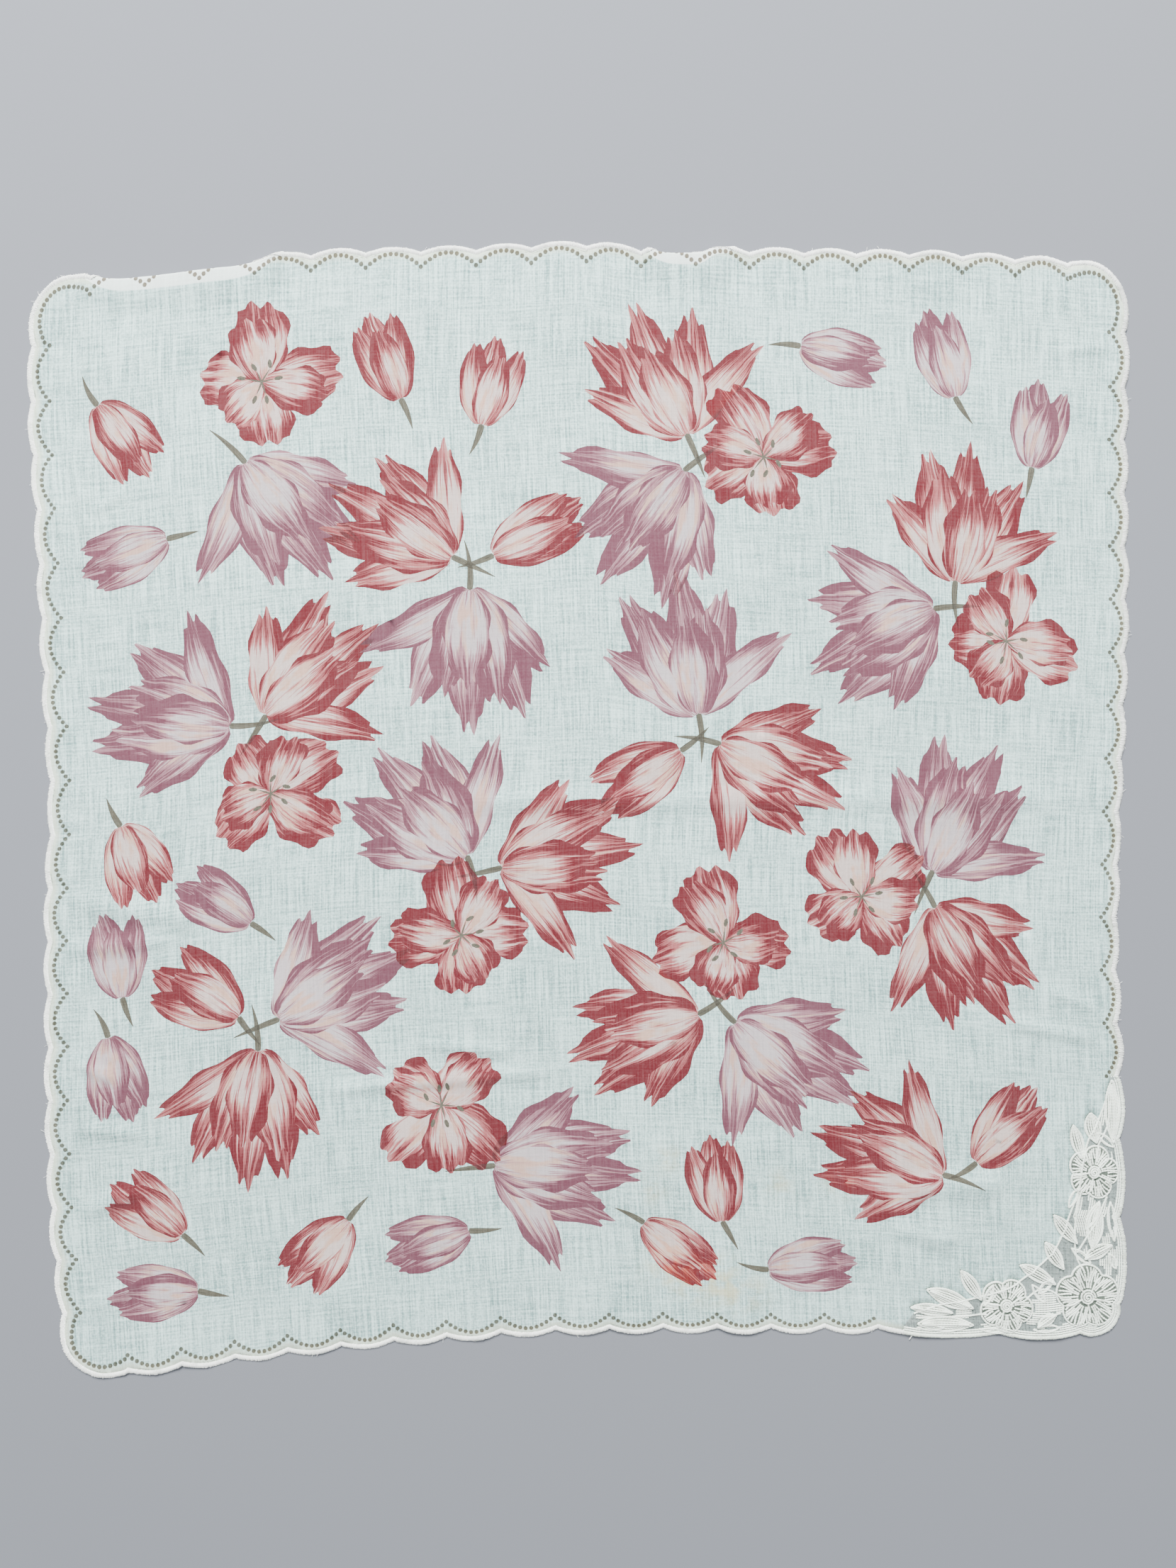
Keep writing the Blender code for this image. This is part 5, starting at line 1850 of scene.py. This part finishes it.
lace = build_lace()
lace.data.materials.append(organdy_material())
lace_thread = thread_material("lace thread", THREAD_CREAM, THREAD_CREAM_SHADE, roughness=0.65)
lace_cords = thread_on_lace("lace_cords", outline_lines(), CORD_HEIGHT, CORD_THREAD, 1, closed=True)
lace_veins = thread_on_lace("lace_veins", vein_lines(), VEIN_HEIGHT, VEIN_THREAD, 2)
lace_rows = thread_on_lace("lace_rows", filling_lines(), ROW_HEIGHT, ROW_THREAD, 3)
lace_edge_band = padded_band("lace_edge_band", lace_stations(), LACE_EDGE_SECTION, lace_thread)
lace_edge_stitches = satin_stitches("lace_edge_stitches", lace_stations(), LACE_EDGE_MIDDLE, EDGING_SIDE,
                                    LACE_EDGE_CROWN, LACE_EDGE_WIDTH, lace_thread, 4)
for piece in (lace, lace_cords, lace_veins, lace_rows, lace_edge_band, lace_edge_stitches):
    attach(piece, "root")
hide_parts("lace_corner")


# The floor, the light and the view
# The square lies on a plain pale floor under soft studio light, seen from straight above.

FLOOR_COLOUR = (116, 119, 125)
FLOOR_REACH = 8.0
ROOM_COLOUR = (0.92, 0.96, 1.0, 1.0)
ROOM_STRENGTH = 0.8
WINDOW_PLACE = (-0.2, 1.4, 1.3)
WINDOW_SIZE = 0.7
WINDOW_POWER = 155.0
VIEW_PLACE = (0.00429, 0.01104, 0.4936)
LENS = 26.0


def pale_floor():
    mesh = bpy.data.meshes.new("floor")
    signs = ((-1, -1), (1, -1), (1, 1), (-1, 1))
    mesh.from_pydata([(x * FLOOR_REACH, y * FLOOR_REACH, 0.0) for x, y in signs], [], [(0, 1, 2, 3)])
    material, _, shader = new_material("pale floor", roughness=0.9)
    shader.inputs["Base Color"].default_value = linear(FLOOR_COLOUR)
    mesh.materials.append(material)
    return put_in_scene("floor", mesh)


def room_light():
    world = bpy.data.worlds.new("room")
    world.use_nodes = True
    background = world.node_tree.nodes["Background"]
    background.inputs["Color"].default_value = ROOM_COLOUR
    background.inputs["Strength"].default_value = ROOM_STRENGTH
    bpy.context.scene.world = world


def window_light():
    light = bpy.data.lights.new("window", "AREA")
    light.size = WINDOW_SIZE
    light.energy = WINDOW_POWER
    lamp = put_in_scene("window", light)
    lamp.location = WINDOW_PLACE
    lamp.rotation_euler = (-Vector(WINDOW_PLACE)).to_track_quat("-Z", "Y").to_euler()


def view_from_above():
    camera_data = bpy.data.cameras.new("camera")
    camera_data.lens = LENS
    camera_data.clip_start = 0.01
    camera = put_in_scene("camera", camera_data)
    camera.location = VIEW_PLACE
    bpy.context.scene.camera = camera


floor = pale_floor()
room_light()
window_light()
view_from_above()
